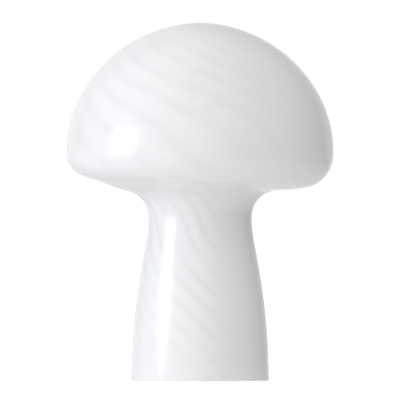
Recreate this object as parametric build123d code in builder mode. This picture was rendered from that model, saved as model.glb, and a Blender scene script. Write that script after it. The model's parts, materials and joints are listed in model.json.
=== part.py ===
from build123d import *

# Mushroom table lamp: a glass body blown in one piece, standing over a removable lamp fitting.
#
# The glass is a hollow mushroom that is open only at its foot. Its ground rim stands on the table,
# and a notch at the back of the rim lets the mains cord out. It is one piece, and its solid is split
# at level planes into simpler ones, so that its collision follows it. The fitting stands inside it on
# rubber feet: a pressed steel pan with a terminal block inside it, a three-armed spring that centres
# it in the glass, a threaded tube, an E14 lamp holder and a golf ball bulb.
#
# Millimetres. The origin is on the table under the middle of the lamp, +Z is up, the cord is at +Y.

import os
from math import asin, atan2, cos, degrees, hypot, pi, radians, sin, sqrt, tan

# ---------------------------------------------------------------- glass body
glass_height = 230.0
glass_wall = 3.5
foot_radius = 44.2  # outside of the ground rim
belly_radius = 41.9  # outside of the stem, at belly_height
belly_height = 44.0
shoulder_radius = 36.5  # outside of the stem, at shoulder_height
shoulder_height = 80.0
neck_radius = 33.25  # outside of the stem at its narrowest, under the cap
neck_fillet = 16.5
underside_rise = 13.0  # degrees by which the underside of the cap rises outwards
cap_radius = 85.7
equator_height = 149.0  # where the dome starts
rim_band = 3.6  # height of the upright band below the dome
rim_fillet = 18.5
dome_exponent = 1.92  # 2 is an ellipse, less is a little more pointed
dome_points = 17
crown_height = 188.0  # where the dome's solid is split
rim_edge_fillet = 0.8  # the two edges of the ground rim
notch_radius = 4.8  # of the cord's notch

# ---------------------------------------------------------------- base pan and what closes it
pan_gap = 2.5  # between the pan and the glass, at the foot
pan_sheet = 1.2
pan_corner = 3.0
foot_pad_height = 3.0  # rubber below the cover
foot_pad_radius = 5.5
foot_pad_edge = 0.6
foot_pad_circle = 27.0  # radius on which the feet lie
foot_stem_radius = 2.5
foot_head_lip = 0.8  # of the foot's head past its stem
foot_head_height = 1.8
foot_angle = 90.0  # the first foot and the first spring arm are at the back
cover_thickness = 2.0
cover_gap = 0.3
standoff_angle = 30.0
standoff_circle = 30.0
standoff_across_flats = 5.5
rivet_radius = 2.2
rivet_head_lip = 1.2
rivet_head_height = 0.6
small_screw_radius = 1.5  # M3
small_screw_head_lip = 1.3
cover_screw_length = 9.0
recess_width = 0.8  # of a cross recess or a slot
recess_depth = 1.0
tapped_fit = 0.02  # between a plain shank and the plain hole that stands for its thread
loose_fit = 0.1

# ---------------------------------------------------------------- cord inlet
cord_bore_radius = 3.0
gland_wall = 1.0
gland_flange_lip = 1.2
gland_inner_flange = 1.5
gland_outer_flange = 1.4
gland_above_cover = 0.2

# ---------------------------------------------------------------- tube and its nuts
tube_radius = 5.0  # M10 x 1
tube_wall = 1.0
tube_length = 50.0
tube_below_nut = 1.0
nut_across_flats = 14.0
nut_height = 4.0
nut_chamfer = 0.6
washer_radius = 9.0
washer_thickness = 0.8
washer_teeth = 12
tooth_gap_width = 1.2
tooth_gap_depth = 2.0

# ---------------------------------------------------------------- three-armed centring spring
arm_names = "abc"
strip_thickness = 0.6
strip_width = 12.0
hub_radius = 13.0
arm_bend_inset = 8.2  # from the pan's outside in to where an arm turns up
arm_bend_radius = 2.5  # of the strip's middle, as is the next
arm_crest_radius = 5.0
arm_turn_in = 35.0  # degrees by which an arm leans in above its crest
arm_tip_length = 9.0
arm_gap = 0.3  # between a pad and the glass
pad_thickness = 1.0
pad_side = 0.8
pad_past_tip = 0.8
pad_below_crest = 4.0

# ---------------------------------------------------------------- terminal block
block_width = 18.0
block_depth = 13.0
block_height = 11.0
block_above_feet = 0.5
block_setback = 18.5  # from the lamp's axis to the middle of the block
block_edge = 0.8
pole_spacing = 9.0
barrel_radius = 2.3
barrel_bore_radius = 1.35
barrel_inset = 0.5  # of a barrel's end in the block
barrel_above_face = 5.3  # from the block's lower face to a barrel's middle
clamp_spacing = 7.0  # between the two clamping screws of a pole
clamp_screw_radius = 1.3
clamp_screw_length = 3.0
clamp_well_gap = 0.3
block_counterbore = 2.6
block_screw_head = 1.8
block_screw_short = 0.2  # from the block screw's end to the top of the deck

# ---------------------------------------------------------------- leads from the block to the holder
lead_radius = 1.05
lead_in_barrel = 4.0
lead_exit_run = 2.5  # straight out of the block
lead_turn_height = 3.2  # of a lead above the cover, where it turns up
lead_gap = 1.3  # between the two leads in the tube
lead_terminal_run = 2.2  # straight into the lamp holder's terminal
lead_in_terminal = 3.0

# ---------------------------------------------------------------- lamp holder
holder_radius = 14.2
holder_wall = 1.8
holder_taper = 0.8
holder_edge = 1.0
boss_wall = 2.75
boss_height = 5.0
boss_engagement = 10.0  # of the tube in the holder's cap
bell_height = 8.5
lock_screw_length = 3.5
wire_room_height = 8.0
tube_end_gap = 0.5
spigot_wall = 1.1
spigot_height = 8.0
core_ledge = 2.1  # of the cap under the core
mouth_inset = 3.8
mouth_lip = 3.0
terminal_offset = 7.2  # from the axis to the middle of a terminal
terminal_length = 5.2
terminal_width = 5.0
terminal_height = 7.4
terminal_fit = 0.15
terminal_screw_radius = 1.2
terminal_screw_head_lip = 0.6
terminal_screw_head = 0.8
terminal_screw_height = 1.9  # above the terminal's lower face
strap_thickness = 1.0
strap_width = 4.0
strap_past_middle = 2.2
riser_thickness = 0.6
riser_width = 3.0
plunger_radius = 1.6
plunger_edge = 0.4
plunger_flange_lip = 0.7
plunger_flange_height = 1.5
plunger_stand = 1.5  # of the plunger's tip above the floor of the well
guide_height = 2.5
plunger_free_rise = 1.2  # by which the plunger would come up with the bulb out
contact_spring_height = 6.0
contact_spring_wire = 0.25
contact_spring_turns = 5
shell_wall = 0.55
shell_short = 0.3  # from the shell's upper edge to the top of the core

# ---------------------------------------------------------------- E14 screw
screw_pitch = 2.822
screw_major_radius = 6.945
screw_minor_radius = 6.145
screw_clearance = 0.2
screw_engagement = 15.0  # of the bulb in the core, from the bulb's contact up

# ---------------------------------------------------------------- bulb
bulb_length = 78.0
bulb_radius = 22.5
bulb_wall = 0.8
bulb_neck_radius = 7.6
bulb_neck_fillet = 14.0
bulb_cap_wall = 0.25
bulb_skirt_gap = 0.1
bulb_skirt_wall = 0.35
bulb_collar_lip = 0.25
bulb_button_radius = 2.3
bulb_button_height = 0.9
bulb_pin_radius = 0.8
insulator_tip_radius = 3.0
insulator_height = 2.7
insulator_plug = 1.0
collar_rise = 1.3  # the three below are steps up the cap from the top of its screw
collar_band = 0.9
skirt_height = 3.3
seal_gap = 0.2
stem_flare_height = 6.0
stem_flare_edge = 0.8
stem_radius = 2.2
stem_height = 39.0  # above the bulb's contact, as is the next
post_height = 67.0
post_radius = 0.9
filament_count = 4
filament_radius = 0.8
filament_circle = 6.5
ferrule_radius = 0.6
ferrule_height = 1.6
spoke_radius = 0.3
star_radius = 1.8
star_height = 0.8
board_width = 9.0
board_height = 10.0
board_thickness = 1.0
capacitor_radius = 2.4
capacitor_height = 7.0

# ---------------------------------------------------------------- heights and radii that follow
arm_count = len(arm_names)
underside_slope = radians(underside_rise)
rim_middle = cap_radius - rim_fillet
rim_height = equator_height - rim_band
flare_middle = neck_radius + neck_fillet
flare_rise = (rim_middle - flare_middle) * sin(underside_slope)
neck_height = rim_height - (rim_fillet + neck_fillet + flare_rise) / cos(underside_slope)
flare_top = neck_height + neck_fillet * cos(underside_slope)
cover_top = foot_pad_height + cover_thickness
block_bottom = cover_top + foot_head_height + block_above_feet
deck_bottom = block_bottom + block_height
deck_top = deck_bottom + pan_sheet
pan_radius = foot_radius - glass_wall - pan_gap
gland_neck_radius = cord_bore_radius + gland_wall
gland_flange_radius = gland_neck_radius + gland_flange_lip
gland_height = cover_top + gland_above_cover + gland_flange_radius
tube_bore_radius = tube_radius - tube_wall
tube_hole_radius = tube_radius + loose_fit / 2
tube_bottom = deck_bottom - washer_thickness - nut_height - tube_below_nut
tube_top = tube_bottom + tube_length
block_front = block_setback - block_depth / 2
barrel_height = block_bottom + barrel_above_face
holder_bottom = tube_top - boss_engagement
wire_room_floor = tube_top + tube_end_gap
core_bottom = wire_room_floor + wire_room_height
spigot_radius = holder_radius - holder_wall - loose_fit
spigot_top = core_bottom + spigot_height
core_hole_radius = spigot_radius - spigot_wall
core_radius = core_hole_radius - loose_fit
terminal_bottom = core_bottom + loose_fit
terminal_top = terminal_bottom + terminal_height
spring_seat = terminal_top + strap_thickness
plunger_bottom = spring_seat + contact_spring_height
plunger_flange_radius = plunger_radius + plunger_flange_lip
chamber_radius = plunger_flange_radius + terminal_fit
chamber_top = plunger_bottom + plunger_flange_height + plunger_free_rise
well_floor = chamber_top + guide_height
contact_height = well_floor + plunger_stand
core_top = contact_height + screw_engagement
holder_top = core_top + loose_fit + mouth_lip
screw_eccentricity = (screw_major_radius - screw_minor_radius) / 2
screw_radius = (screw_major_radius + screw_minor_radius) / 2
shell_radius = screw_major_radius + screw_clearance + shell_wall
insulator_top = contact_height + bulb_button_height + insulator_height
bulb_bore_radius = screw_minor_radius - bulb_cap_wall
skirt_radius = bulb_neck_radius + bulb_skirt_gap + bulb_skirt_wall
bulb_centre = contact_height + bulb_length - bulb_radius

# Looks out at the back: X of a sketch on it runs to -X and its Y runs up.
rear_plane = Plane(origin=(0, 0, 0), x_dir=(-1, 0, 0), z_dir=(0, 1, 0))


def glass_outline(inset):
    """Half of the mushroom's section, moved in from the outside of the glass, as a closed outline.

    The stem is a spline from the foot to the neck, the neck and the cap's rim are arcs that touch the
    sloping underside, and the dome is a superellipse.
    """
    cap = cap_radius - inset
    dome = glass_height - inset - equator_height
    rim = rim_fillet - inset
    flare = neck_fillet + inset
    rim_start = (rim_middle + rim * sin(underside_slope), rim_height - rim * cos(underside_slope))
    flare_end = (flare_middle - flare * sin(underside_slope), neck_height + flare * cos(underside_slope))
    power = 2 / dome_exponent
    quarter = [pi / 2 * step / (dome_points - 1) for step in range(dome_points)]
    crown = [(cap * max(cos(a), 0) ** power, equator_height + dome * sin(a) ** power) for a in quarter]
    with BuildLine() as outline:
        Spline(
            (foot_radius - inset, 0),
            (belly_radius - inset, belly_height),
            (shoulder_radius - inset, shoulder_height),
            (neck_radius - inset, neck_height),
            tangents=((0, 1), (0, 1)),
        )
        CenterArc((flare_middle, neck_height), flare, 180, underside_rise - 90)
        Line(flare_end, rim_start)
        CenterArc((rim_middle, rim_height), rim, underside_rise - 90, 90 - underside_rise)
        Line((cap, rim_height), (cap, equator_height))
        Spline(*crown, tangents=((0, 1), (-1, 0)))
        Polyline((0, glass_height - inset), (0, 0), (foot_radius - inset, 0))
    return outline.line


def countersunk_screw(length):
    """A small cross-recessed screw, its head's flat face on the XY plane and its shank up."""
    head_radius = small_screw_radius + small_screw_head_lip
    with BuildPart() as screw:
        with BuildSketch(Plane.XZ):
            with BuildLine():
                Polyline(
                    (0, 0),
                    (head_radius, 0),
                    (small_screw_radius, small_screw_head_lip),
                    (small_screw_radius, length),
                    (0, length),
                    close=True,
                )
            make_face()
        revolve(axis=Axis.Z)
        with BuildSketch():
            Rectangle(head_radius, recess_width)
            Rectangle(recess_width, head_radius)
        extrude(amount=recess_depth, mode=Mode.SUBTRACT)
    return screw.part


def slotted_pin(radius, length):
    """A headless slotted screw, its slotted end on the XY plane."""
    with BuildPart() as pin:
        with BuildSketch():
            Circle(radius)
        extrude(amount=length)
        with BuildSketch():
            Rectangle(3 * radius, recess_width)
        extrude(amount=recess_depth, mode=Mode.SUBTRACT)
    return pin.part


def tube_nut(bottom):
    """A hexagon nut on the threaded tube, its corners cut back to a cone at both faces."""
    corner_radius = nut_across_flats / 2 / cos(pi / 6)
    with BuildPart() as nut:
        with BuildSketch(Plane.XY.offset(bottom)):
            RegularPolygon(corner_radius, 6)
            Circle(tube_radius + tapped_fit, mode=Mode.SUBTRACT)
        extrude(amount=nut_height)
        with BuildSketch(Plane.XZ):
            with BuildLine():
                Polyline(
                    (0, bottom),
                    (corner_radius - 2 * nut_chamfer, bottom),
                    (corner_radius, bottom + nut_chamfer),
                    (corner_radius, bottom + nut_height - nut_chamfer),
                    (corner_radius - 2 * nut_chamfer, bottom + nut_height),
                    (0, bottom + nut_height),
                    close=True,
                )
            make_face()
        revolve(axis=Axis.Z, mode=Mode.INTERSECT)
    return nut.part


def screw_core(radius):
    """A round screw: a circle off the axis that winds up from the well's floor past the core's top.

    The bulb's cap and the holder's shell are both cut by it, so their threads stay in step.
    """
    with BuildPart() as core:
        with BuildLine() as path:
            Helix(screw_pitch, core_top + screw_pitch - well_floor, screw_eccentricity, (0, 0, well_floor))
        with BuildSketch(Plane.XY.offset(well_floor)) as section:
            with Locations((screw_eccentricity, 0)):
                Circle(radius)
        sweep(sections=section.sketch, path=path.line, normal=(0, 0, 1))
    return core.part


def lead_route(side):
    """Corners of a lead's route from the terminal block through the tube to the lamp holder."""
    beside = side * (lead_radius + lead_gap / 2)
    return [
        (side * pole_spacing / 2, block_front + lead_in_barrel, barrel_height),
        (side * pole_spacing / 2, block_front - lead_exit_run, barrel_height),
        (beside, 0, cover_top + lead_turn_height),
        (beside, 0, tube_top),
        (side * terminal_offset, 0, core_bottom - lead_terminal_run),
        (side * terminal_offset, 0, terminal_bottom + lead_in_terminal),
    ]


def corner_radii(route):
    """The largest bend that the two runs at each corner leave room for."""
    radii = []
    for before, corner, after in zip(route, route[1:], route[2:]):
        arriving = Vector(corner) - Vector(before)
        leaving = Vector(after) - Vector(corner)
        half_turn = radians(arriving.get_angle(leaving)) / 2
        radii.append(0.45 * min(arriving.length, leaving.length) / tan(half_turn))
    return radii


def lead(side):
    """One insulated lead, swept along its route."""
    route = lead_route(side)
    with BuildPart() as wire:
        with BuildLine() as path:
            FilletPolyline(*route, radius=corner_radii(route))
        with BuildSketch(Plane(origin=path.line @ 0, z_dir=path.line % 0)):
            Circle(lead_radius)
        sweep(path=path.line)
    run_volume = pi * lead_radius**2 * path.wire().length
    print(f"lead bends: {[round(r, 1) for r in corner_radii(route)]} mm")
    print(f"lead volume / section times length: {wire.part.volume / run_volume:.4f}")
    return wire.part


# ================================================================ glass body
outer_outline = glass_outline(0)
inner_outline = glass_outline(glass_wall)

with BuildPart() as whole_glass:
    with BuildSketch(Plane.XZ):
        add(outer_outline)
        make_face()
        add(inner_outline)
        make_face(mode=Mode.SUBTRACT)
    revolve(axis=Axis.Z)
    fillet(whole_glass.faces().filter_by(GeomType.PLANE).sort_by(Axis.Z)[0].edges(), rim_edge_fillet)
    with BuildSketch(rear_plane):
        with Locations((0, gland_height)):
            Circle(notch_radius)
        with Locations((0, 0)):
            Rectangle(2 * notch_radius, 2 * gland_height)
    extrude(amount=foot_radius + glass_wall, mode=Mode.SUBTRACT)


def glass_between(low, high):
    """What lies between two levels of the glass."""
    with BuildPart() as section:
        add(whole_glass.part)
        with BuildSketch(Plane.XY.offset(low)):
            Circle(cap_radius + glass_wall)
        extrude(amount=high - low, mode=Mode.INTERSECT)
    return section.part


glass_names = ["glass_foot", "glass_stem", "glass_neck", "glass_underside", "glass_side", "glass_crown"]
glass_splits = [gland_height + 2 * notch_radius, neck_height, flare_top, rim_height, crown_height]
glass_ends = [-glass_wall, *glass_splits, glass_height + glass_wall]
glass_sections = []
for name, low, high in zip(glass_names, glass_ends, glass_ends[1:]):
    glass_sections.append(glass_between(low, high))
    glass_sections[-1].label = name

# ================================================================ base pan
with BuildPart() as base_pan:
    with BuildSketch(Plane.XY.offset(foot_pad_height)):
        Circle(pan_radius)
    extrude(amount=deck_top - foot_pad_height)
    fillet(base_pan.edges().sort_by(Axis.Z)[-1], pan_corner)
    offset(amount=-pan_sheet, openings=base_pan.faces().sort_by(Axis.Z)[0])
    with BuildSketch(Plane.XY.offset(deck_bottom)):
        Circle(tube_hole_radius)
        with PolarLocations(standoff_circle, arm_count, standoff_angle):
            Circle(rivet_radius)
        with Locations((0, block_setback)):
            Circle(small_screw_radius + tapped_fit)
    extrude(amount=pan_sheet, mode=Mode.SUBTRACT)
    with BuildSketch(rear_plane):
        with Locations((0, gland_height)):
            Circle(gland_neck_radius)
    extrude(amount=foot_radius, mode=Mode.SUBTRACT)
base_pan.part.label = "base_pan"

# ================================================================ bottom cover and its feet
with BuildPart() as bottom_cover:
    with BuildSketch(Plane.XY.offset(foot_pad_height)):
        Circle(pan_radius - pan_sheet - cover_gap)
        with PolarLocations(foot_pad_circle, arm_count, foot_angle):
            Circle(foot_stem_radius, mode=Mode.SUBTRACT)
    extrude(amount=cover_thickness)
    with Locations(Plane(origin=(0, 0, foot_pad_height), x_dir=(1, 0, 0), z_dir=(0, 0, -1))):
        with PolarLocations(standoff_circle, arm_count, -standoff_angle):
            CounterSinkHole(
                small_screw_radius + loose_fit,
                small_screw_radius + small_screw_head_lip + loose_fit,
                depth=cover_thickness,
                counter_sink_angle=90,
            )
bottom_cover.part.label = "bottom_cover"

with BuildPart() as one_foot:
    with BuildSketch(Plane.XZ):
        with BuildLine():
            Polyline(
                (0, 0),
                (foot_pad_radius - foot_pad_edge, 0),
                (foot_pad_radius, foot_pad_edge),
                (foot_pad_radius, foot_pad_height),
                (foot_stem_radius, foot_pad_height),
                (foot_stem_radius, cover_top),
                (foot_stem_radius + foot_head_lip, cover_top),
                (foot_stem_radius - foot_head_lip, cover_top + foot_head_height),
                (0, cover_top + foot_head_height),
                close=True,
            )
        make_face()
    revolve(axis=Axis.Z)

with BuildPart() as rubber_feet:
    with PolarLocations(foot_pad_circle, arm_count, foot_angle):
        add(one_foot.part)
rubber_feet.part.label = "rubber_feet"

# ================================================================ standoffs and cover screws
with BuildPart() as standoffs:
    with BuildSketch(Plane.XY.offset(cover_top)):
        with PolarLocations(standoff_circle, arm_count, standoff_angle):
            RegularPolygon(standoff_across_flats / 2, 6, major_radius=False)
    extrude(amount=deck_bottom - cover_top)
    with BuildSketch(Plane.XY.offset(deck_bottom)):
        with PolarLocations(standoff_circle, arm_count, standoff_angle):
            Circle(rivet_radius)
    extrude(amount=pan_sheet)
    with BuildSketch(Plane.XY.offset(deck_top)):
        with PolarLocations(standoff_circle, arm_count, standoff_angle):
            Circle(rivet_radius + rivet_head_lip)
    extrude(amount=rivet_head_height)
    with BuildSketch(Plane.XY.offset(cover_top)):
        with PolarLocations(standoff_circle, arm_count, standoff_angle):
            Circle(small_screw_radius + tapped_fit)
    extrude(amount=cover_screw_length, mode=Mode.SUBTRACT)
standoffs.part.label = "standoffs"

one_cover_screw = countersunk_screw(cover_screw_length).moved(Location((0, 0, foot_pad_height)))

with BuildPart() as cover_screws:
    with PolarLocations(standoff_circle, arm_count, standoff_angle):
        add(one_cover_screw)
cover_screws.part.label = "cover_screws"

# ================================================================ cord gland
with BuildPart() as cord_gland:
    with BuildSketch(rear_plane.offset(pan_radius - pan_sheet - gland_inner_flange)):
        with Locations((0, gland_height)):
            Circle(gland_flange_radius)
    extrude(amount=gland_inner_flange + pan_sheet + gland_outer_flange)
    fillet(cord_gland.edges().sort_by(Axis.Y)[-1], gland_outer_flange / 2)
    with BuildSketch():
        Circle(pan_radius)
        Circle(pan_radius - pan_sheet, mode=Mode.SUBTRACT)
    extrude(amount=deck_top, mode=Mode.SUBTRACT)
    with BuildSketch(rear_plane.offset(pan_radius - pan_sheet - gland_inner_flange)):
        with Locations((0, gland_height)):
            Circle(gland_neck_radius)
    extrude(amount=gland_inner_flange + pan_sheet + gland_outer_flange / 2)
    with BuildSketch(rear_plane):
        with Locations((0, gland_height)):
            Circle(cord_bore_radius)
    extrude(amount=foot_radius, mode=Mode.SUBTRACT)
cord_gland.part.label = "cord_gland"

# ================================================================ terminal block
block_screw_hole = small_screw_radius + loose_fit
pole_places = [-pole_spacing / 2, pole_spacing / 2]
clamp_places = [(x, block_setback + y) for x in pole_places for y in (-clamp_spacing / 2, clamp_spacing / 2)]

with BuildPart() as terminal_block:
    with BuildSketch(Plane.XY.offset(block_bottom)):
        with Locations((0, block_setback)):
            Rectangle(block_width, block_depth)
    extrude(amount=block_height)
    fillet(terminal_block.edges().filter_by(Axis.Z), block_edge)
    with BuildSketch(rear_plane.offset(block_front)):
        with Locations(*[(x, barrel_height) for x in pole_places]):
            Circle(barrel_radius + loose_fit)
    extrude(amount=block_depth, mode=Mode.SUBTRACT)
    with BuildSketch(Plane.XY.offset(block_bottom)):
        with Locations(*clamp_places):
            Circle(clamp_screw_radius + clamp_well_gap)
    extrude(amount=barrel_above_face, mode=Mode.SUBTRACT)
    with BuildSketch(Plane.XY.offset(block_bottom)):
        with Locations((0, block_setback)):
            Circle(block_screw_hole)
    extrude(amount=block_height, mode=Mode.SUBTRACT)
    with BuildSketch(Plane.XY.offset(block_bottom)):
        with Locations((0, block_setback)):
            Circle(small_screw_radius + small_screw_head_lip + loose_fit)
    extrude(amount=block_counterbore, mode=Mode.SUBTRACT)
terminal_block.part.label = "terminal_block"

with BuildPart() as terminal_barrels:
    with BuildSketch(rear_plane.offset(block_front + barrel_inset)):
        with Locations(*[(x, barrel_height) for x in pole_places]):
            Circle(barrel_radius)
            Circle(barrel_bore_radius, mode=Mode.SUBTRACT)
    extrude(amount=block_depth - 2 * barrel_inset)
    with BuildSketch(Plane.XY.offset(barrel_height - barrel_radius)):
        with Locations(*clamp_places):
            Circle(clamp_screw_radius + tapped_fit)
    extrude(amount=barrel_radius, mode=Mode.SUBTRACT)
terminal_barrels.part.label = "terminal_barrels"

clamp_tip = barrel_height - lead_radius - tapped_fit
one_clamp_screw = slotted_pin(clamp_screw_radius, clamp_screw_length)

with BuildPart() as clamp_screws:
    with Locations(*[(x, y, clamp_tip - clamp_screw_length) for x, y in clamp_places]):
        add(one_clamp_screw)
clamp_screws.part.label = "clamp_screws"

with BuildPart() as block_screw:
    with BuildSketch(Plane.XY.offset(block_bottom + block_counterbore - block_screw_head)):
        with Locations((0, block_setback)):
            Circle(small_screw_radius + small_screw_head_lip)
    extrude(amount=block_screw_head)
    with BuildSketch(Plane.XY.offset(block_bottom + block_counterbore)):
        with Locations((0, block_setback)):
            Circle(small_screw_radius)
    extrude(amount=deck_top - block_screw_short - block_bottom - block_counterbore)
    with BuildSketch(Plane.XY.offset(block_bottom + block_counterbore - block_screw_head)):
        with Locations((0, block_setback)):
            Rectangle(2 * small_screw_radius, recess_width)
            Rectangle(recess_width, 2 * small_screw_radius)
    extrude(amount=recess_depth, mode=Mode.SUBTRACT)
block_screw.part.label = "block_screw"

# ================================================================ threaded tube, washer and nuts
with BuildPart() as threaded_tube:
    with BuildSketch(Plane.XY.offset(tube_bottom)):
        Circle(tube_radius)
        Circle(tube_bore_radius, mode=Mode.SUBTRACT)
    extrude(amount=tube_length)
    end_edges = threaded_tube.edges().group_by(Axis.Z)
    chamfer(end_edges[0] + end_edges[-1], tube_wall / 3)
threaded_tube.part.label = "threaded_tube"

with BuildPart() as lock_washer:
    with BuildSketch(Plane.XY.offset(deck_bottom - washer_thickness)):
        Circle(washer_radius)
        Circle(tube_hole_radius, mode=Mode.SUBTRACT)
        with PolarLocations(washer_radius, washer_teeth):
            Rectangle(2 * tooth_gap_depth, tooth_gap_width, mode=Mode.SUBTRACT)
    extrude(amount=washer_thickness)
lock_washer.part.label = "lock_washer"

lower_nut = tube_nut(deck_bottom - washer_thickness - nut_height)
lower_nut.label = "tube_nut_lower"
upper_nut = tube_nut(deck_top + strip_thickness)
upper_nut.label = "tube_nut_upper"

# ================================================================ centring spring
strip_middle = deck_top + strip_thickness / 2
bend_circle = pan_radius - arm_bend_inset
bend_centre = (bend_circle, strip_middle + arm_bend_radius)
glass_reach = belly_radius - glass_wall - arm_gap
pad_face = sqrt(glass_reach**2 - (strip_width / 2 + pad_side) ** 2)  # flat across, so its edges touch first
crest_centre = (pad_face - pad_thickness - strip_thickness / 2 - arm_crest_radius, belly_height)
across = crest_centre[0] - bend_centre[0]
up = crest_centre[1] - bend_centre[1]
arm_lean = degrees(atan2(across, up) - asin((arm_bend_radius - arm_crest_radius) / hypot(across, up)))
lean = radians(arm_lean)
turn_in = radians(arm_turn_in)
bend_end = (bend_centre[0] + arm_bend_radius * cos(lean), bend_centre[1] - arm_bend_radius * sin(lean))
crest_start = (crest_centre[0] + arm_crest_radius * cos(lean), crest_centre[1] - arm_crest_radius * sin(lean))
crest_end = (
    crest_centre[0] + arm_crest_radius * cos(turn_in),
    crest_centre[1] + arm_crest_radius * sin(turn_in),
)


def past_crest(length):
    """The point that lies on the arm's tip, this far past the end of its crest."""
    return crest_end[0] - length * sin(turn_in), crest_end[1] + length * cos(turn_in)


def before_crest(length):
    """The point that lies on the arm's straight run, this far before the start of its crest."""
    return crest_start[0] - length * sin(lean), crest_start[1] - length * cos(lean)


def arm_plane(number):
    """A plane through the lamp's axis: X of a sketch on it runs out along the arm, its Y runs up."""
    turn = radians(foot_angle + number * 360 / arm_count)
    return Plane(origin=(0, 0, 0), x_dir=(cos(turn), sin(turn), 0), z_dir=(sin(turn), -cos(turn), 0))


def spring_arm(number):
    """The part of an arm that flexes, from the bend at the deck to its tip."""
    with BuildPart() as arm:
        with BuildSketch(arm_plane(number)):
            with BuildLine():
                CenterArc(bend_centre, arm_bend_radius, -90, 90 - arm_lean)
                Line(bend_end, crest_start)
                CenterArc(crest_centre, arm_crest_radius, -arm_lean, arm_lean + arm_turn_in)
                Line(crest_end, past_crest(arm_tip_length))
            trace(line_width=strip_thickness)
        extrude(amount=strip_width / 2, both=True)
    arm.part.label = f"spring_arm_{arm_names[number]}"
    return arm.part


def arm_pad(number, arm):
    """A soft sleeve dipped over the crest and the tip of an arm."""
    with BuildPart() as pad:
        with BuildSketch(arm_plane(number)):
            with BuildLine():
                Line(before_crest(pad_below_crest), crest_start)
                CenterArc(crest_centre, arm_crest_radius, -arm_lean, arm_lean + arm_turn_in)
                Line(crest_end, past_crest(arm_tip_length + pad_past_tip))
            trace(line_width=strip_thickness + 2 * pad_thickness)
        extrude(amount=strip_width / 2 + pad_side, both=True)
        add(arm, mode=Mode.SUBTRACT)
    pad.part.label = f"arm_pad_{arm_names[number]}"
    return pad.part


with BuildPart() as spring_hub:
    with BuildSketch(Plane.XY.offset(deck_top)):
        Circle(hub_radius)
        with PolarLocations(0, arm_count, foot_angle):
            Rectangle(bend_circle, strip_width, align=(Align.MIN, Align.CENTER))
        Circle(tube_hole_radius, mode=Mode.SUBTRACT)
    extrude(amount=strip_thickness)
spring_hub.part.label = "spring_hub"

spring_arms = [spring_arm(number) for number in range(arm_count)]
arm_pads = [arm_pad(number, arm) for number, arm in enumerate(spring_arms)]

# ================================================================ lamp holder: cap, lock screw, body
boss_radius = tube_hole_radius + boss_wall
boss_top = holder_bottom + boss_height
lock_screw_height = holder_bottom + boss_height / 2

with BuildPart() as holder_cap:
    with BuildSketch(Plane.XZ):
        with BuildLine():
            bell = Spline(
                (boss_radius, boss_top),
                (holder_radius, boss_top + bell_height),
                tangents=((1, 0.15), (0, 1)),
            )
            Polyline(
                bell @ 1,
                (holder_radius, core_bottom),
                (spigot_radius, core_bottom),
                (spigot_radius, spigot_top),
                (core_hole_radius, spigot_top),
                (core_hole_radius, core_bottom),
                (core_hole_radius - core_ledge, core_bottom),
                (core_hole_radius - core_ledge, wire_room_floor),
                (tube_hole_radius, wire_room_floor),
                (tube_hole_radius, holder_bottom),
                (boss_radius, holder_bottom),
                bell @ 0,
            )
        make_face()
    revolve(axis=Axis.Z)
    with BuildSketch(Plane.YZ):
        with Locations((0, lock_screw_height)):
            Circle(small_screw_radius + tapped_fit)
    extrude(amount=2 * boss_radius, mode=Mode.SUBTRACT)
holder_cap.part.label = "holder_cap"

lock_screw_end = (tube_hole_radius + lock_screw_length, 0, lock_screw_height)
lock_screw_place = Plane(origin=lock_screw_end, z_dir=(-1, 0, 0))

with BuildPart() as holder_lock_screw:
    with BuildSketch(lock_screw_place):
        Circle(small_screw_radius)
    extrude(amount=lock_screw_length)
    with BuildSketch(lock_screw_place):
        Rectangle(3 * small_screw_radius, recess_width)
    extrude(amount=recess_depth, mode=Mode.SUBTRACT)
holder_lock_screw.part.label = "holder_lock_screw"

with BuildPart() as holder_body:
    with BuildSketch(Plane.XZ):
        with BuildLine():
            Polyline(
                (holder_radius, core_bottom),
                (holder_radius - holder_taper, holder_top),
                (holder_radius - holder_taper - mouth_inset, holder_top),
                (holder_radius - holder_taper - mouth_inset, core_top + loose_fit),
                (core_hole_radius, core_top + loose_fit),
                (core_hole_radius, spigot_top),
                (spigot_radius + loose_fit, spigot_top),
                (spigot_radius + loose_fit, core_bottom),
                close=True,
            )
        make_face()
    revolve(axis=Axis.Z)
    fillet(holder_body.edges().group_by(Axis.Z)[-1].sort_by(SortBy.RADIUS)[-1], holder_edge)
holder_body.part.label = "holder_body"

# ================================================================ lamp holder: core and its metal
terminal_inner = terminal_offset - terminal_length / 2
terminal_outer = terminal_offset + terminal_length / 2
terminal_screw_level = terminal_bottom + terminal_screw_height

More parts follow.
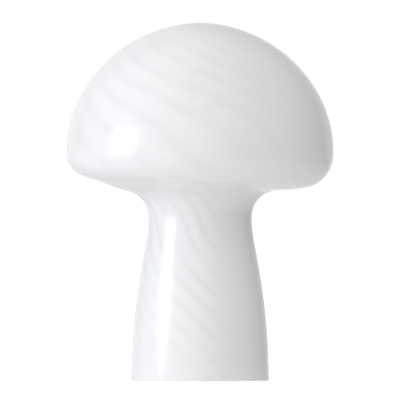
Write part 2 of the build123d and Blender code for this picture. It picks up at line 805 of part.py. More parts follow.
with BuildPart() as holder_core:
    with BuildSketch(Plane.XZ):
        with BuildLine():
            Polyline(
                (0, core_bottom),
                (core_radius, core_bottom),
                (core_radius, core_top),
                (shell_radius + loose_fit, core_top),
                (shell_radius + loose_fit, well_floor),
                (plunger_radius + terminal_fit, well_floor),
                (plunger_radius + terminal_fit, chamber_top),
                (chamber_radius, chamber_top),
                (chamber_radius, spring_seat),
                (0, spring_seat),
                close=True,
            )
        make_face()
    revolve(axis=Axis.Z)
    with BuildSketch(Plane.XY.offset(core_bottom)):
        with Locations((-core_radius, 0), (core_radius, 0)):
            Rectangle(2 * (core_radius - terminal_inner + terminal_fit), terminal_width + 2 * terminal_fit)
    extrude(amount=terminal_top - core_bottom, mode=Mode.SUBTRACT)
    with BuildSketch(Plane.XY.offset(terminal_top)):
        with Locations((-strap_past_middle - terminal_fit, 0)):
            Rectangle(
                strap_past_middle + terminal_outer + 2 * terminal_fit,
                strap_width + 2 * terminal_fit,
                align=(Align.MIN, Align.CENTER),
            )
    extrude(amount=strap_thickness, mode=Mode.SUBTRACT)
    with BuildSketch(Plane.XY.offset(terminal_top)):
        with Locations((riser_thickness / 2 - shell_radius, 0)):
            Rectangle(riser_thickness + 2 * terminal_fit, riser_width + 2 * terminal_fit)
    extrude(amount=well_floor - terminal_top, mode=Mode.SUBTRACT)
holder_core.part.label = "holder_core"


def terminal_sockets():
    """What is cut out of both terminals: the leads' holes from below and the screws' from outside."""
    with BuildPart() as sockets:
        with BuildSketch(Plane.YZ):
            with Locations((0, terminal_screw_level)):
                Circle(terminal_screw_radius + tapped_fit)
        extrude(amount=terminal_outer, both=True)
        with BuildSketch(Plane.YZ):
            with Locations((0, terminal_screw_level)):
                Circle(terminal_screw_radius + tapped_fit)
        extrude(amount=terminal_offset, both=True, mode=Mode.SUBTRACT)
        with BuildSketch(Plane.XY.offset(terminal_bottom)):
            with Locations((-terminal_offset, 0), (terminal_offset, 0)):
                Circle(lead_radius + loose_fit)
        extrude(amount=lead_in_terminal + loose_fit)
    return sockets.part


sockets = terminal_sockets()

with BuildPart() as live_terminal:
    with BuildSketch(Plane.XY.offset(terminal_bottom)):
        with Locations((terminal_offset, 0)):
            Rectangle(terminal_length, terminal_width)
    extrude(amount=terminal_height)
    with BuildSketch(Plane.XY.offset(terminal_top)):
        with Locations((-strap_past_middle, 0)):
            Rectangle(strap_past_middle + terminal_outer, strap_width, align=(Align.MIN, Align.CENTER))
    extrude(amount=strap_thickness)
    add(sockets, mode=Mode.SUBTRACT)
live_terminal.part.label = "live_terminal"

with BuildPart() as neutral_terminal:
    with BuildSketch(Plane.XY.offset(terminal_bottom)):
        with Locations((-terminal_offset, 0)):
            Rectangle(terminal_length, terminal_width)
    extrude(amount=terminal_height)
    with BuildSketch(Plane.XY.offset(terminal_top)):
        with Locations((riser_thickness / 2 - shell_radius, 0)):
            Rectangle(riser_thickness, riser_width)
    extrude(amount=well_floor - terminal_top)
    add(sockets, mode=Mode.SUBTRACT)
neutral_terminal.part.label = "neutral_terminal"

with BuildPart() as one_terminal_screw:
    with BuildSketch(Plane.YZ.offset(terminal_offset + lead_radius + tapped_fit)):
        with Locations((0, terminal_screw_level)):
            Circle(terminal_screw_radius)
    extrude(amount=terminal_length / 2 - lead_radius - tapped_fit)
    with BuildSketch(Plane.YZ.offset(terminal_outer)):
        with Locations((0, terminal_screw_level)):
            Circle(terminal_screw_radius + terminal_screw_head_lip)
    extrude(amount=terminal_screw_head)
    with BuildSketch(Plane.YZ.offset(terminal_outer + terminal_screw_head)):
        with Locations((0, terminal_screw_level)):
            Rectangle(4 * terminal_screw_radius, recess_width)
    extrude(amount=-terminal_screw_head / 2, mode=Mode.SUBTRACT)

with BuildPart() as terminal_screws:
    with PolarLocations(0, 2):
        add(one_terminal_screw.part)
terminal_screws.part.label = "terminal_screws"

male_screw = screw_core(screw_radius)
female_screw = screw_core(screw_radius + screw_clearance)

with BuildPart() as holder_shell:
    with BuildSketch(Plane.XY.offset(well_floor)):
        Circle(shell_radius)
    extrude(amount=core_top - shell_short - well_floor)
    add(female_screw, mode=Mode.SUBTRACT)
holder_shell.part.label = "holder_shell"

with BuildPart() as centre_contact:
    with BuildSketch(Plane.XY.offset(plunger_bottom)):
        Circle(plunger_flange_radius)
    extrude(amount=plunger_flange_height)
    with BuildSketch(Plane.XY.offset(plunger_bottom)):
        Circle(plunger_radius)
    extrude(amount=contact_height - plunger_bottom)
    fillet(centre_contact.edges().sort_by(Axis.Z)[-1], plunger_edge)
centre_contact.part.label = "centre_contact"

spring_rise = contact_spring_height - 2 * contact_spring_wire
spring_pitch = spring_rise / contact_spring_turns
spring_radius = plunger_flange_radius - 2 * contact_spring_wire

with BuildPart() as contact_spring:
    with BuildLine() as spring_path:
        Helix(spring_pitch, spring_rise, spring_radius, (0, 0, spring_seat + contact_spring_wire))
    with BuildSketch(Plane(origin=spring_path.line @ 0, z_dir=spring_path.line % 0)):
        Circle(contact_spring_wire)
    sweep(path=spring_path.line, is_frenet=True)
contact_spring.part.label = "contact_spring"
print(f"gap between the contact spring's turns: {spring_pitch - 2 * contact_spring_wire:.2f} mm")

# ================================================================ leads
lead_live = lead(1)
lead_live.label = "lead_live"
lead_neutral = lead(-1)
lead_neutral.label = "lead_neutral"

# ================================================================ bulb: contact, insulator, cap, driver
screw_top = core_top + loose_fit
collar_edge = core_top + collar_rise
collar_top = collar_edge + collar_band
skirt_top = collar_top + skirt_height
skirt_bore = skirt_radius - bulb_skirt_wall
pin_hole_radius = bulb_pin_radius + tapped_fit

with BuildPart() as bulb_contact:
    with BuildSketch(Plane.XY.offset(contact_height)):
        Circle(bulb_button_radius)
    extrude(amount=bulb_button_height)
    fillet(bulb_contact.edges().sort_by(Axis.Z)[0], bulb_button_height / 2)
    with BuildSketch(Plane.XY.offset(contact_height + bulb_button_height)):
        Circle(bulb_pin_radius)
    extrude(amount=insulator_height + insulator_plug)
bulb_contact.part.label = "bulb_contact"

with BuildPart() as bulb_insulator:
    with BuildSketch(Plane.XZ):
        with BuildLine():
            Polyline(
                (pin_hole_radius, contact_height + bulb_button_height),
                (insulator_tip_radius, contact_height + bulb_button_height),
                (screw_minor_radius - loose_fit, insulator_top),
                (bulb_bore_radius - loose_fit, insulator_top),
                (bulb_bore_radius - loose_fit, insulator_top + insulator_plug),
                (pin_hole_radius, insulator_top + insulator_plug),
                close=True,
            )
        make_face()
    revolve(axis=Axis.Z)
bulb_insulator.part.label = "bulb_insulator"

with BuildPart() as bulb_cap:
    add(male_screw)
    with BuildSketch(Plane.XY.offset(insulator_top)):
        Circle(holder_radius)
    extrude(amount=screw_top - insulator_top, mode=Mode.INTERSECT)
    with BuildSketch(Plane.XZ):
        with BuildLine():
            Polyline(
                (0, core_top),
                (screw_radius, core_top),
                (skirt_radius + bulb_collar_lip, collar_edge),
                (skirt_radius + bulb_collar_lip, collar_top),
                (skirt_radius, collar_top + bulb_collar_lip),
                (skirt_radius, skirt_top),
                (0, skirt_top),
                close=True,
            )
        make_face()
    revolve(axis=Axis.Z)
    with BuildSketch(Plane.XZ):
        with BuildLine():
            Polyline(
                (0, insulator_top),
                (bulb_bore_radius, insulator_top),
                (bulb_bore_radius, screw_top + bulb_cap_wall),
                (skirt_bore, collar_top),
                (skirt_bore, skirt_top),
                (0, skirt_top),
                close=True,
            )
        make_face()
    revolve(axis=Axis.Z, mode=Mode.SUBTRACT)
bulb_cap.part.label = "bulb_cap"

with BuildPart() as bulb_driver:
    with BuildSketch(Plane.XY.offset(insulator_top + insulator_plug)):
        Rectangle(board_width, board_thickness)
    extrude(amount=board_height)
    with BuildSketch(Plane.XY.offset(insulator_top + insulator_plug)):
        with Locations((0, capacitor_radius + board_thickness / 2 - loose_fit)):
            Circle(capacitor_radius)
    extrude(amount=capacitor_height)
bulb_driver.part.label = "bulb_driver"


# ================================================================ bulb: glass and what it holds
def bulb_outline(inset):
    """Half of the bulb's section, moved in from the outside of its glass, as a closed outline."""
    neck = bulb_neck_radius - inset
    flare = bulb_neck_fillet + inset
    globe = bulb_radius - inset
    drop = sqrt((globe + flare) ** 2 - (neck + flare) ** 2)
    meeting = degrees(atan2(drop, neck + flare))
    with BuildLine() as outline:
        Line((neck, collar_top + seal_gap), (neck, bulb_centre - drop))
        CenterArc((neck + flare, bulb_centre - drop), flare, 180, -meeting)
        CenterArc((0, bulb_centre), globe, -meeting, 90 + meeting)
        Polyline(
            (0, bulb_centre + globe),
            (0, collar_top + seal_gap),
            (neck, collar_top + seal_gap),
        )
    return outline.line


outer_bulb = bulb_outline(0)
inner_bulb = bulb_outline(bulb_wall)

with BuildPart() as bulb_envelope:
    with BuildSketch(Plane.XZ):
        add(outer_bulb)
        make_face()
        add(inner_bulb)
        make_face(mode=Mode.SUBTRACT)
    revolve(axis=Axis.Z)
bulb_envelope.part.label = "bulb_envelope"

seal_radius = bulb_neck_radius - bulb_wall - loose_fit
seal_bottom = collar_top + seal_gap
stem_top = contact_height + stem_height
post_top = contact_height + post_height

with BuildPart() as bulb_stem:
    with BuildSketch(Plane.XZ):
        with BuildLine():
            Polyline(
                (0, seal_bottom),
                (seal_radius, seal_bottom),
                (seal_radius, seal_bottom + stem_flare_edge),
                (stem_radius, seal_bottom + stem_flare_height),
                (stem_radius, stem_top),
                (post_radius, stem_top),
                (post_radius, post_top),
                (0, post_top),
                close=True,
            )
        make_face()
    revolve(axis=Axis.Z)
bulb_stem.part.label = "bulb_stem"

star_levels = [stem_top, post_top - star_height]
ferrule_bottoms = [stem_top, post_top - ferrule_height]

with BuildPart() as bulb_wires:
    for star_level, ferrule_bottom in zip(star_levels, ferrule_bottoms):
        with BuildSketch(Plane.XY.offset(star_level)):
            Circle(star_radius)
        extrude(amount=star_height)
        with BuildSketch(Plane.XY.offset(ferrule_bottom)):
            with PolarLocations(filament_circle, filament_count):
                Circle(ferrule_radius)
        extrude(amount=ferrule_height)
        for number in range(filament_count):
            turn = radians(number * 360 / filament_count)
            outwards = Plane(origin=(0, 0, star_level + star_height / 2), z_dir=(cos(turn), sin(turn), 0))
            with BuildSketch(outwards):
                Circle(spoke_radius)
            extrude(amount=filament_circle)
    with BuildSketch(Plane.XY.offset(stem_top)):
        Circle(post_radius + loose_fit / 2)
    extrude(amount=post_height - stem_height, mode=Mode.SUBTRACT)
bulb_wires.part.label = "bulb_wires"

with BuildPart() as bulb_filaments:
    with BuildSketch(Plane.XY.offset(stem_top + ferrule_height)):
        with PolarLocations(filament_circle, filament_count):
            Circle(filament_radius)
    extrude(amount=post_top - stem_top - 2 * ferrule_height)
bulb_filaments.part.label = "bulb_filaments"

# ================================================================ files
blocks = [
    base_pan,
    bottom_cover,
    rubber_feet,
    standoffs,
    cover_screws,
    cord_gland,
    terminal_block,
    terminal_barrels,
    clamp_screws,
    block_screw,
    threaded_tube,
    lock_washer,
    spring_hub,
    holder_cap,
    holder_lock_screw,
    holder_body,
    holder_core,
    live_terminal,
    neutral_terminal,
    terminal_screws,
    holder_shell,
    centre_contact,
    contact_spring,
    bulb_contact,
    bulb_insulator,
    bulb_cap,
    bulb_driver,
    bulb_envelope,
    bulb_stem,
    bulb_wires,
    bulb_filaments,
]
pieces = [block.part for block in blocks]
pieces += [*glass_sections, lower_nut, upper_nut, lead_live, lead_neutral, *spring_arms, *arm_pads]

os.makedirs("parts", exist_ok=True)
for piece in pieces:
    export_step(piece, f"parts/{piece.label}.step")

print(f"glass splits {[round(level, 3) for level in glass_splits]}")
print(f"pan radius {pan_radius:.3f}, deck top {deck_top:.3f}, gland height {gland_height:.3f}")
print(f"tube top {tube_top:.3f}, core bottom {core_bottom:.3f}, spring seat {spring_seat:.3f}")
print(f"contact height {contact_height:.3f}, core top {core_top:.3f}, holder top {holder_top:.3f}")
print(f"arm bend centre {bend_centre}, arm lean {arm_lean:.3f}")
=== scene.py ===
"""Looks for a mushroom table lamp blown from opal glass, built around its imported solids.

Lengths are in metres and angles in radians, unless a name says degrees. The origin is on the table under
the middle of the lamp, +Z is up, the camera stands at -Y, and the notch for the cord is at +Y.
"""

import json
import logging
import math
from dataclasses import dataclass
from enum import Enum

import bpy
import numpy as np
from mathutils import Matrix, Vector


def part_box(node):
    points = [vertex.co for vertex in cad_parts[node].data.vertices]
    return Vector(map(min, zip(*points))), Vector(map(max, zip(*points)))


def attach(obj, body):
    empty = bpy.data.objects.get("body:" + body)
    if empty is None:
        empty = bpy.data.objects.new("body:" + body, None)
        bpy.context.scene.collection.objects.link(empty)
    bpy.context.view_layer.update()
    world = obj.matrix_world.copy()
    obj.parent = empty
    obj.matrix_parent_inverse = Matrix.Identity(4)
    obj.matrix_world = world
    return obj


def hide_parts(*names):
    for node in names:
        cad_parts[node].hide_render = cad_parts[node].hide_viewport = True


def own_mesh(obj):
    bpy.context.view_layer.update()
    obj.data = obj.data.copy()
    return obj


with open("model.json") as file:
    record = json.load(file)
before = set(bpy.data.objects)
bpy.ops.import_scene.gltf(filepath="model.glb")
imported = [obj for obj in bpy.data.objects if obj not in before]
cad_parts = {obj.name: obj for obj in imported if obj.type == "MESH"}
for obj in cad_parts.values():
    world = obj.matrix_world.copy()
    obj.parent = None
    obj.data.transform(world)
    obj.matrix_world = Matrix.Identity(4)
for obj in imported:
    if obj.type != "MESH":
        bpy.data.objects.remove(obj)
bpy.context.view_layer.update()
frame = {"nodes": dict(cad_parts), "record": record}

log = logging.getLogger("mushroom_lamp")

Span = tuple[float, float]
Triple = tuple[float, float, float]
Colour = Triple
Array = np.ndarray
Pieces = list[bpy.types.Object]
MM = 0.001
SWIRL_MAP = "swirl"
SHARP_ANGLE = math.radians(38)


# ---------------------------------------------------------------- shader maths
class Signal:
    """A node's output. Arithmetic on it, from either side, adds Math nodes."""

    def __init__(self, shader: "Shader", socket: bpy.types.NodeSocket) -> None:
        """Wraps a socket of a shader's tree."""
        self.shader = shader
        self.socket = socket

    def math(self, operation: str, *values: "Signal | float") -> "Signal":
        """Adds a Math node whose first value is this signal.

        Args:
            operation: the Math node's operation.
            values: its second and third values.

        Returns:
            The node's result.
        """
        sockets = dict(enumerate((self, *values)))
        return self.shader.node("ShaderNodeMath", {"operation": operation}, sockets)

    def __add__(self, other: "Signal | float") -> "Signal":
        """Sum."""
        return self.math("ADD", other)

    __radd__ = __add__

    def __sub__(self, other: "Signal | float") -> "Signal":
        """Difference."""
        return self.math("SUBTRACT", other)

    def __rsub__(self, other: float) -> "Signal":
        """A number less this signal."""
        return self.math("MULTIPLY_ADD", -1.0, other)

    def __mul__(self, other: "Signal | float") -> "Signal":
        """Product."""
        return self.math("MULTIPLY", other)

    __rmul__ = __mul__

    def __pow__(self, other: float) -> "Signal":
        """Power."""
        return self.math("POWER", other)


@dataclass(frozen=True)
class Patches:
    """Soft-edged patches made from noise, with the values of it at which a patch starts and is full."""

    per_metre: float
    detail: float
    starts: float
    full: float
    rough: float = 0.5


class Shader:
    """A node tree that is filled from Python expressions."""

    def __init__(self, tree: bpy.types.NodeTree) -> None:
        """Takes a material's or the world's tree and empties it."""
        self.tree = tree
        tree.nodes.clear()

    def node(
        self,
        kind: str,
        settings: dict[str, object] | None = None,
        sockets: dict[int | str, object] | None = None,
        output: int | str = 0,
    ) -> Signal:
        """Adds any node.

        Args:
            kind: the node's type.
            settings: its settings, such as a Math node's operation, which are set first.
            sockets: a value or a signal for each named or numbered input.
            output: which output to return.

        Returns:
            The chosen output.
        """
        made = self.tree.nodes.new(kind)
        for name, value in (settings or {}).items():
            setattr(made, name, value)
        for key, value in (sockets or {}).items():
            if isinstance(value, Signal):
                self.tree.links.new(value.socket, made.inputs[key])
            else:
                made.inputs[key].default_value = value
        return Signal(self, made.outputs[output] if made.outputs else None)

    def place(self) -> Signal:
        """The point on the piece, in its own coordinates, which are the lamp's."""
        return self.node("ShaderNodeTexCoord", output="Object")

    def mapped(self, scale: Triple) -> Signal:
        """The point on the piece, stretched by a Mapping node."""
        return self.node("ShaderNodeMapping", {}, {"Vector": self.place(), "Scale": scale})

    def parts(self, vector: Signal) -> list[Signal]:
        """The three components of a vector."""
        split = self.node("ShaderNodeSeparateXYZ", {}, {0: vector})
        return [Signal(self, output) for output in split.socket.node.outputs]

    def noise(self, point: Signal, per_metre: float, detail: float = 2.0, rough: float = 0.5) -> Signal:
        """Smooth noise from 0 to 1, with this many features to the metre."""
        sockets = {"Vector": point, "Scale": per_metre, "Detail": detail, "Roughness": rough}
        return self.node("ShaderNodeTexNoise", {}, sockets, "Fac")

    def blend(self, mask: Signal | float, low: Colour | Signal, high: Colour | Signal) -> Signal:
        """Mixes two colours.

        Args:
            mask: 0 gives low and 1 gives high.
            low: a colour or a colour signal.
            high: a colour or a colour signal.

        Returns:
            The mixed colour.
        """
        pair = [c if isinstance(c, Signal) else (*c, 1.0) for c in (low, high)]
        sockets = {0: mask, 6: pair[0], 7: pair[1]}
        return self.node("ShaderNodeMix", {"data_type": "RGBA", "clamp_factor": True}, sockets, 2)

    def step(self, value: Signal, low: float, high: float) -> Signal:
        """0 below low, 1 above high and smooth between; low may be the larger one."""
        sockets = {"Value": value, "From Min": low, "From Max": high}
        return self.node("ShaderNodeMapRange", {"interpolation_type": "SMOOTHSTEP"}, sockets)

    def patches(self, point: Signal, kind: Patches) -> Signal:
        """0 between the patches and 1 inside them."""
        noise = self.noise(point, kind.per_metre, kind.detail, kind.rough)
        return self.step(noise, kind.starts, kind.full)

    def bump(self, height: Signal, depth: float) -> Signal:
        """A normal bent by a height from 0 to 1 that stands for a relief this deep."""
        sockets = {"Strength": 1.0, "Distance": depth, "Height": height}
        return self.node("ShaderNodeBump", {}, sockets, "Normal")

    def principled(self, **sockets: object) -> Signal:
        """A Principled shader; an underscore in a name stands for a space.

        Args:
            sockets: a value or a signal for each input that isn't left at its default.

        Returns:
            The shader.
        """
        named = {}
        for name, value in sockets.items():
            is_colour = isinstance(value, tuple) and name.endswith("Color")
            named[name.replace("_", " ")] = (*value, 1.0) if is_colour else value
        return self.node("ShaderNodeBsdfPrincipled", {}, named, "BSDF")


# ---------------------------------------------------------------- finishes
EVEN_RADIUS = (1.0, 1.0, 1.0)


@dataclass(frozen=True)
class Finish:
    """What a surface is made of."""

    name: str

    def surface(self, shader: Shader) -> Signal:
        """Adds the finish's nodes.

        Args:
            shader: the tree to fill.

        Returns:
            The finish's shader.
        """
        raise NotImplementedError

    def material(self) -> bpy.types.Material:
        """Builds the finish as a material.

        Returns:
            The new material.
        """
        material = bpy.data.materials.new(self.name)
        material.use_nodes = True
        shader = Shader(material.node_tree)
        shader.node("ShaderNodeOutputMaterial", {}, {"Surface": self.surface(shader)})
        return material


@dataclass(frozen=True)
class OpalGlass(Finish):
    """Opaque white glass, drawn with a twist: each rib's edge is a soft line where the white is thinner."""

    white: Colour = (0.93, 0.93, 0.93)
    thin_white: Colour = (0.78, 0.785, 0.79)
    line_sharpness: float = 4.0
    line_softness: float = 0.4
    line_wander: float = 0.22
    wander_per_metre: float = 45.0
    clear_places: Patches = Patches(34.0, 2.0, 0.30, 0.62)
    least_clear: float = 0.4
    clouds: Patches = Patches(18.0, 4.0, 0.3, 0.75)
    cloud_depth: float = 0.04
    broad: Patches = Patches(24.0, 1.0, 0.46, 0.58)
    broad_depth: float = 0.06
    # Painted reflection: darker streaks in the colour that stand for glints off fine ripples, on the front
    # and in patches elsewhere.
    streaks: Patches = Patches(300.0, 2.0, 0.47, 0.62, 0.6)
    streak_scale: Triple = (0.3, 0.3, 1.3)
    painted_glint_depth: float = 0.16
    painted_glint_at: Triple = (-2.0 * MM, -71.0 * MM, 191.0 * MM)
    painted_glint_reach: Span = (34.0 * MM, 14.0 * MM)
    painted_glints_elsewhere: Patches = Patches(13.0, 0.0, 0.64, 0.76)
    ripple_per_metre: float = 260.0
    ripple_scale: Triple = (1.0, 1.0, 0.6)
    ripple_depth: float = 0.01 * MM
    roughness: float = 0.06
    dulling: float = 0.03

    def surface(self, shader: Shader) -> Signal:
        """The swirl map's U counts ribs round the glass, and its V is the strength of the lines there.

        A line is a mix of w = (1 + cos(2 pi U)) / 2 and w^sharpness, with U strayed by noise. Beside the
        lines there are broad faint patches, and fine level streaks, darker in the colour, in a place on the
        front and here and there elsewhere: a painted reflection that stands for glints off fine ripples.

        Args:
            shader: the tree to fill.

        Returns:
            The glass.
        """
        phase, strength, _ = shader.parts(shader.node("ShaderNodeUVMap", {"uv_map": SWIRL_MAP}))
        place = shader.place()
        wander = shader.noise(place, self.wander_per_metre, 3.0) - 0.5
        turn = (phase + wander * self.line_wander) * (2 * math.pi)
        wave = turn.math("COSINE") * 0.5 + 0.5
        line = wave * self.line_softness + wave**self.line_sharpness * (1 - self.line_softness)
        clear = shader.patches(place, self.clear_places) * (1 - self.least_clear) + self.least_clear
        clouds = shader.patches(place, self.clouds)
        broad = shader.patches(place, self.broad)
        # Painted reflection: where the darker streaks stand in for glints off fine ripples, around a place on
        # the front and in patches elsewhere.
        ends = {0: place, 1: self.painted_glint_at}
        away = shader.node("ShaderNodeVectorMath", {"operation": "DISTANCE"}, ends, "Value")
        elsewhere = shader.patches(place, self.painted_glints_elsewhere)
        painted_glint_mask = shader.step(away, *self.painted_glint_reach).math("MAXIMUM", elsewhere)
        streaks = shader.patches(shader.mapped(self.streak_scale), self.streaks)
        thin = line * strength * clear + clouds * self.cloud_depth + broad * self.broad_depth
        thin = thin + streaks * painted_glint_mask * self.painted_glint_depth
        ripple = shader.noise(shader.mapped(self.ripple_scale), self.ripple_per_metre, 1.5)
        return shader.principled(
            Base_Color=shader.blend(thin, self.white, self.thin_white),
            Roughness=clouds * self.dulling + self.roughness,
            IOR=1.5,
            Subsurface_Weight=0.2,
            Subsurface_Radius=EVEN_RADIUS,
            Subsurface_Scale=2.5 * MM,
            Normal=shader.bump(ripple, self.ripple_depth),
        )


@dataclass(frozen=True)
class PowderCoat(Finish):
    """Satin white powder coat with the skin of a fine orange peel."""

    colour: Colour = (0.84, 0.84, 0.83)
    worn: Colour = (0.70, 0.70, 0.68)
    dust: Patches = Patches(60.0, 5.0, 0.55, 0.85, 0.6)
    dust_depth: float = 0.35
    peel_per_metre: float = 1300.0
    peel_depth: float = 0.03 * MM
    roughness: float = 0.38
    dulling: float = 0.12

    def surface(self, shader: Shader) -> Signal:
        """Peel from fine noise, and a faint greying where hands and dust have been.

        Args:
            shader: the tree to fill.

        Returns:
            The coat.
        """
        place = shader.place()
        dust = shader.patches(place, self.dust)
        peel = shader.noise(place, self.peel_per_metre)
        return shader.principled(
            Base_Color=shader.blend(dust * self.dust_depth, self.colour, self.worn),
            Roughness=dust * self.dulling + self.roughness,
            Normal=shader.bump(peel, self.peel_depth),
        )


class Plating(Enum):
    """A metal's colour, its least roughness, and how much that varies over the surface."""

    ZINC = ((0.66, 0.68, 0.70), 0.26, 0.20)
    SPRING = ((0.50, 0.51, 0.53), 0.24, 0.16)
    NICKEL = ((0.74, 0.72, 0.68), 0.16, 0.12)
    BRASS = ((0.78, 0.60, 0.28), 0.22, 0.18)
    SOLDER = ((0.60, 0.60, 0.61), 0.34, 0.20)


@dataclass(frozen=True)
class Metal(Finish):
    """Bare or plated metal with mottling and fine drawn lines."""

    plating: Plating
    grain: Triple = (1.0, 1.0, 1.0)
    grain_per_metre: float = 900.0
    grain_depth: float = 0.006 * MM
    mottle_per_metre: float = 380.0
    mottled_at: Span = (0.35, 0.75)
    mottle_depth: float = 0.55
    dull_share: float = 0.72
    line_dulling: float = 0.08
    polish: float = 0.06

    def surface(self, shader: Shader) -> Signal:
        """The grain's scale is small along the direction in which the metal was rolled or turned.

        Args:
            shader: the tree to fill.

        Returns:
            The metal.
        """
        colour, smooth, spread = self.plating.value
        place = shader.place()
        mottle = shader.noise(place, self.mottle_per_metre, 4.0, 0.6)
        lines = shader.noise(shader.mapped(self.grain), self.grain_per_metre)
        dull = tuple(self.dull_share * channel for channel in colour)
        dulled = shader.step(mottle, *self.mottled_at) * self.mottle_depth
        return shader.principled(
            Base_Color=shader.blend(dulled, colour, dull),
            Metallic=1.0,
            Roughness=mottle * spread + lines * self.line_dulling + (smooth - self.polish),
            Normal=shader.bump(lines, self.grain_depth),
        )


@dataclass(frozen=True)
class Moulded(Finish):
    """Moulded plastic or glazed porcelain: a body colour, faint flow marks and a skin."""

    colour: Colour
    shade: Colour
    roughness: float = 0.3
    skin_per_metre: float = 700.0
    skin_depth: float = 0.01 * MM
    coat: float = 0.0
    glow: float = 0.0
    flow_marks: Patches = Patches(110.0, 4.0, 0.35, 0.8, 0.55)
    flow_scale: Triple = (1.0, 1.0, 0.35)
    flow_depth: float = 0.6
    dulling: float = 0.08

    def surface(self, shader: Shader) -> Signal:
        """Flow marks are low, stretched noise; the skin is fine noise in the normal.

        Args:
            shader: the tree to fill.

        Returns:
            The moulding.
        """
        flow = shader.patches(shader.mapped(self.flow_scale), self.flow_marks)
        skin = shader.noise(shader.place(), self.skin_per_metre)
        return shader.principled(
            Base_Color=shader.blend(flow * self.flow_depth, self.colour, self.shade),
            Roughness=flow * self.dulling + self.roughness,
            Coat_Weight=self.coat,
            Coat_Roughness=0.05,
            Subsurface_Weight=self.glow,
            Subsurface_Radius=EVEN_RADIUS,
            Subsurface_Scale=1.0 * MM,
            Normal=shader.bump(skin, self.skin_depth),
        )


@dataclass(frozen=True)
class CircuitBoard(Finish):
    """The bulb's driver: a green board with tinned pads, and a capacitor in a dark sleeve beside it."""

    mask_green: Colour = (0.02, 0.16, 0.07)
    sleeve: Colour = (0.02, 0.02, 0.05)
    stripe: Colour = (0.55, 0.56, 0.60)
    tin: Colour = (0.62, 0.62, 0.60)
    board_face: Span = (0.45 * MM, 0.65 * MM)
    pad_spacing: Span = (1.6 * MM, 1.4 * MM)
    pad_edge: Span = (0.55, 0.7)
    stripe_edge: Span = (1.2 * MM, 1.3 * MM)
    roughness: float = 0.3
    sleeve_dulling: float = 0.1
    tin_metallic: float = 0.8

    def surface(self, shader: Shader) -> Signal:
        """What lies behind the board's face is the capacitor; the pads stand in rows and columns.

        Args:
            shader: the tree to fill.

        Returns:
            The board and the capacitor.
        """
        across, depth, height = shader.parts(shader.place())
        can = shader.step(depth, *self.board_face)
        rows, columns = (
            shader.step((way * (math.pi / spacing)).math("COSINE"), *self.pad_edge)
            for way, spacing in zip((across, height), self.pad_spacing)
        )
        pads = rows * columns
        board = shader.blend(pads, self.mask_green, self.tin)
        band = shader.step(across, *self.stripe_edge)
        return shader.principled(
            Base_Color=shader.blend(can, board, shader.blend(band, self.sleeve, self.stripe)),
            Roughness=can * self.sleeve_dulling + self.roughness,
            Metallic=pads * (1.0 - can) * self.tin_metallic,
        )


@dataclass(frozen=True)
class ClearGlass(Finish):
    """The bulb's thin clear glass."""

    tint: Colour = (0.985, 0.99, 0.99)
    lines_per_metre: float = 160.0
    line_scale: Triple = (1.0, 1.0, 0.2)
    dulling: float = 0.02

    def surface(self, shader: Shader) -> Signal:
        """A trace of drawing lines roughens it.

        Args:
            shader: the tree to fill.

        Returns:
            The glass.
        """
        lines = shader.noise(shader.mapped(self.line_scale), self.lines_per_metre)
        return shader.principled(
            Base_Color=self.tint,
            Roughness=lines * self.dulling,
            IOR=1.47,
            Transmission_Weight=1.0,
        )


@dataclass(frozen=True)
class Phosphor(Finish):
    """A filament's silicone skin over a row of small diodes."""

    skin: Colour = (0.86, 0.60, 0.12)
    diode: Colour = (0.93, 0.76, 0.30)
    spacing: float = 1.3 * MM
    diode_edge: Span = (0.0, 0.8)
    diode_height: float = 0.03 * MM
    skin_per_metre: float = 1500.0
    roughness: float = 0.4
    dulling: float = 0.15

    def surface(self, shader: Shader) -> Signal:
        """The diodes are pale spots in a row up the filament.

        Args:
            shader: the tree to fill.

        Returns:
            The filament's skin.
        """
        _, _, height = shader.parts(shader.place())
        spots = shader.step((height * (2 * math.pi / self.spacing)).math("COSINE"), *self.diode_edge)
        skin = shader.noise(shader.place(), self.skin_per_metre)
        return shader.principled(
            Base_Color=shader.blend(spots, self.skin, self.diode),
            Roughness=skin * self.dulling + self.roughness,
            Normal=shader.bump(spots, self.diode_height),
        )


class LeadColour(Enum):
    """The insulation of each mains lead, and its darker streaks."""

    LIVE = ((0.23, 0.11, 0.05), (0.15, 0.07, 0.03))
    NEUTRAL = ((0.06, 0.20, 0.52), (0.04, 0.13, 0.38))


WHITE_STEEL = PowderCoat("white_powder_coat")
ZINC = Metal("zinc_plated_steel", Plating.ZINC)
SPRING_STEEL = Metal("spring_steel", Plating.SPRING, (1.0, 1.0, 0.05), 1400.0)
NICKEL = Metal("nickel_plate", Plating.NICKEL, (0.05, 0.05, 1.0), 2200.0)
BRASS = Metal("machined_brass", Plating.BRASS, (0.1, 1.0, 0.1), 2000.0)
SOLDER = Metal("domed_solder", Plating.SOLDER)
THERMOSET = Moulded("white_thermoset", (0.86, 0.86, 0.84), (0.80, 0.80, 0.77), 0.26)
PORCELAIN = Moulded("glazed_porcelain", (0.88, 0.86, 0.82), (0.80, 0.77, 0.72), 0.18, 260.0, 0.02 * MM, 0.6)
WHITE_NYLON = Moulded("white_nylon", (0.82, 0.82, 0.80), (0.74, 0.74, 0.71), 0.42, 1400.0, 0.02 * MM)
MILKY_NYLON = Moulded("milky_nylon", (0.78, 0.77, 0.70), (0.70, 0.69, 0.62), 0.38, 900.0, 0.02 * MM, 0.0, 0.3)
SILICONE = Moulded("milky_silicone", (0.78, 0.80, 0.80), (0.70, 0.72, 0.73), 0.34, 500.0, 0.02 * MM, 0.0, 0.4)
RUBBER = Moulded("grey_rubber", (0.10, 0.10, 0.10), (0.15, 0.15, 0.15), 0.66, 1600.0, 0.04 * MM)
BLACK, GREYED_BLACK = (0.012, 0.012, 0.014), (0.02, 0.02, 0.024)
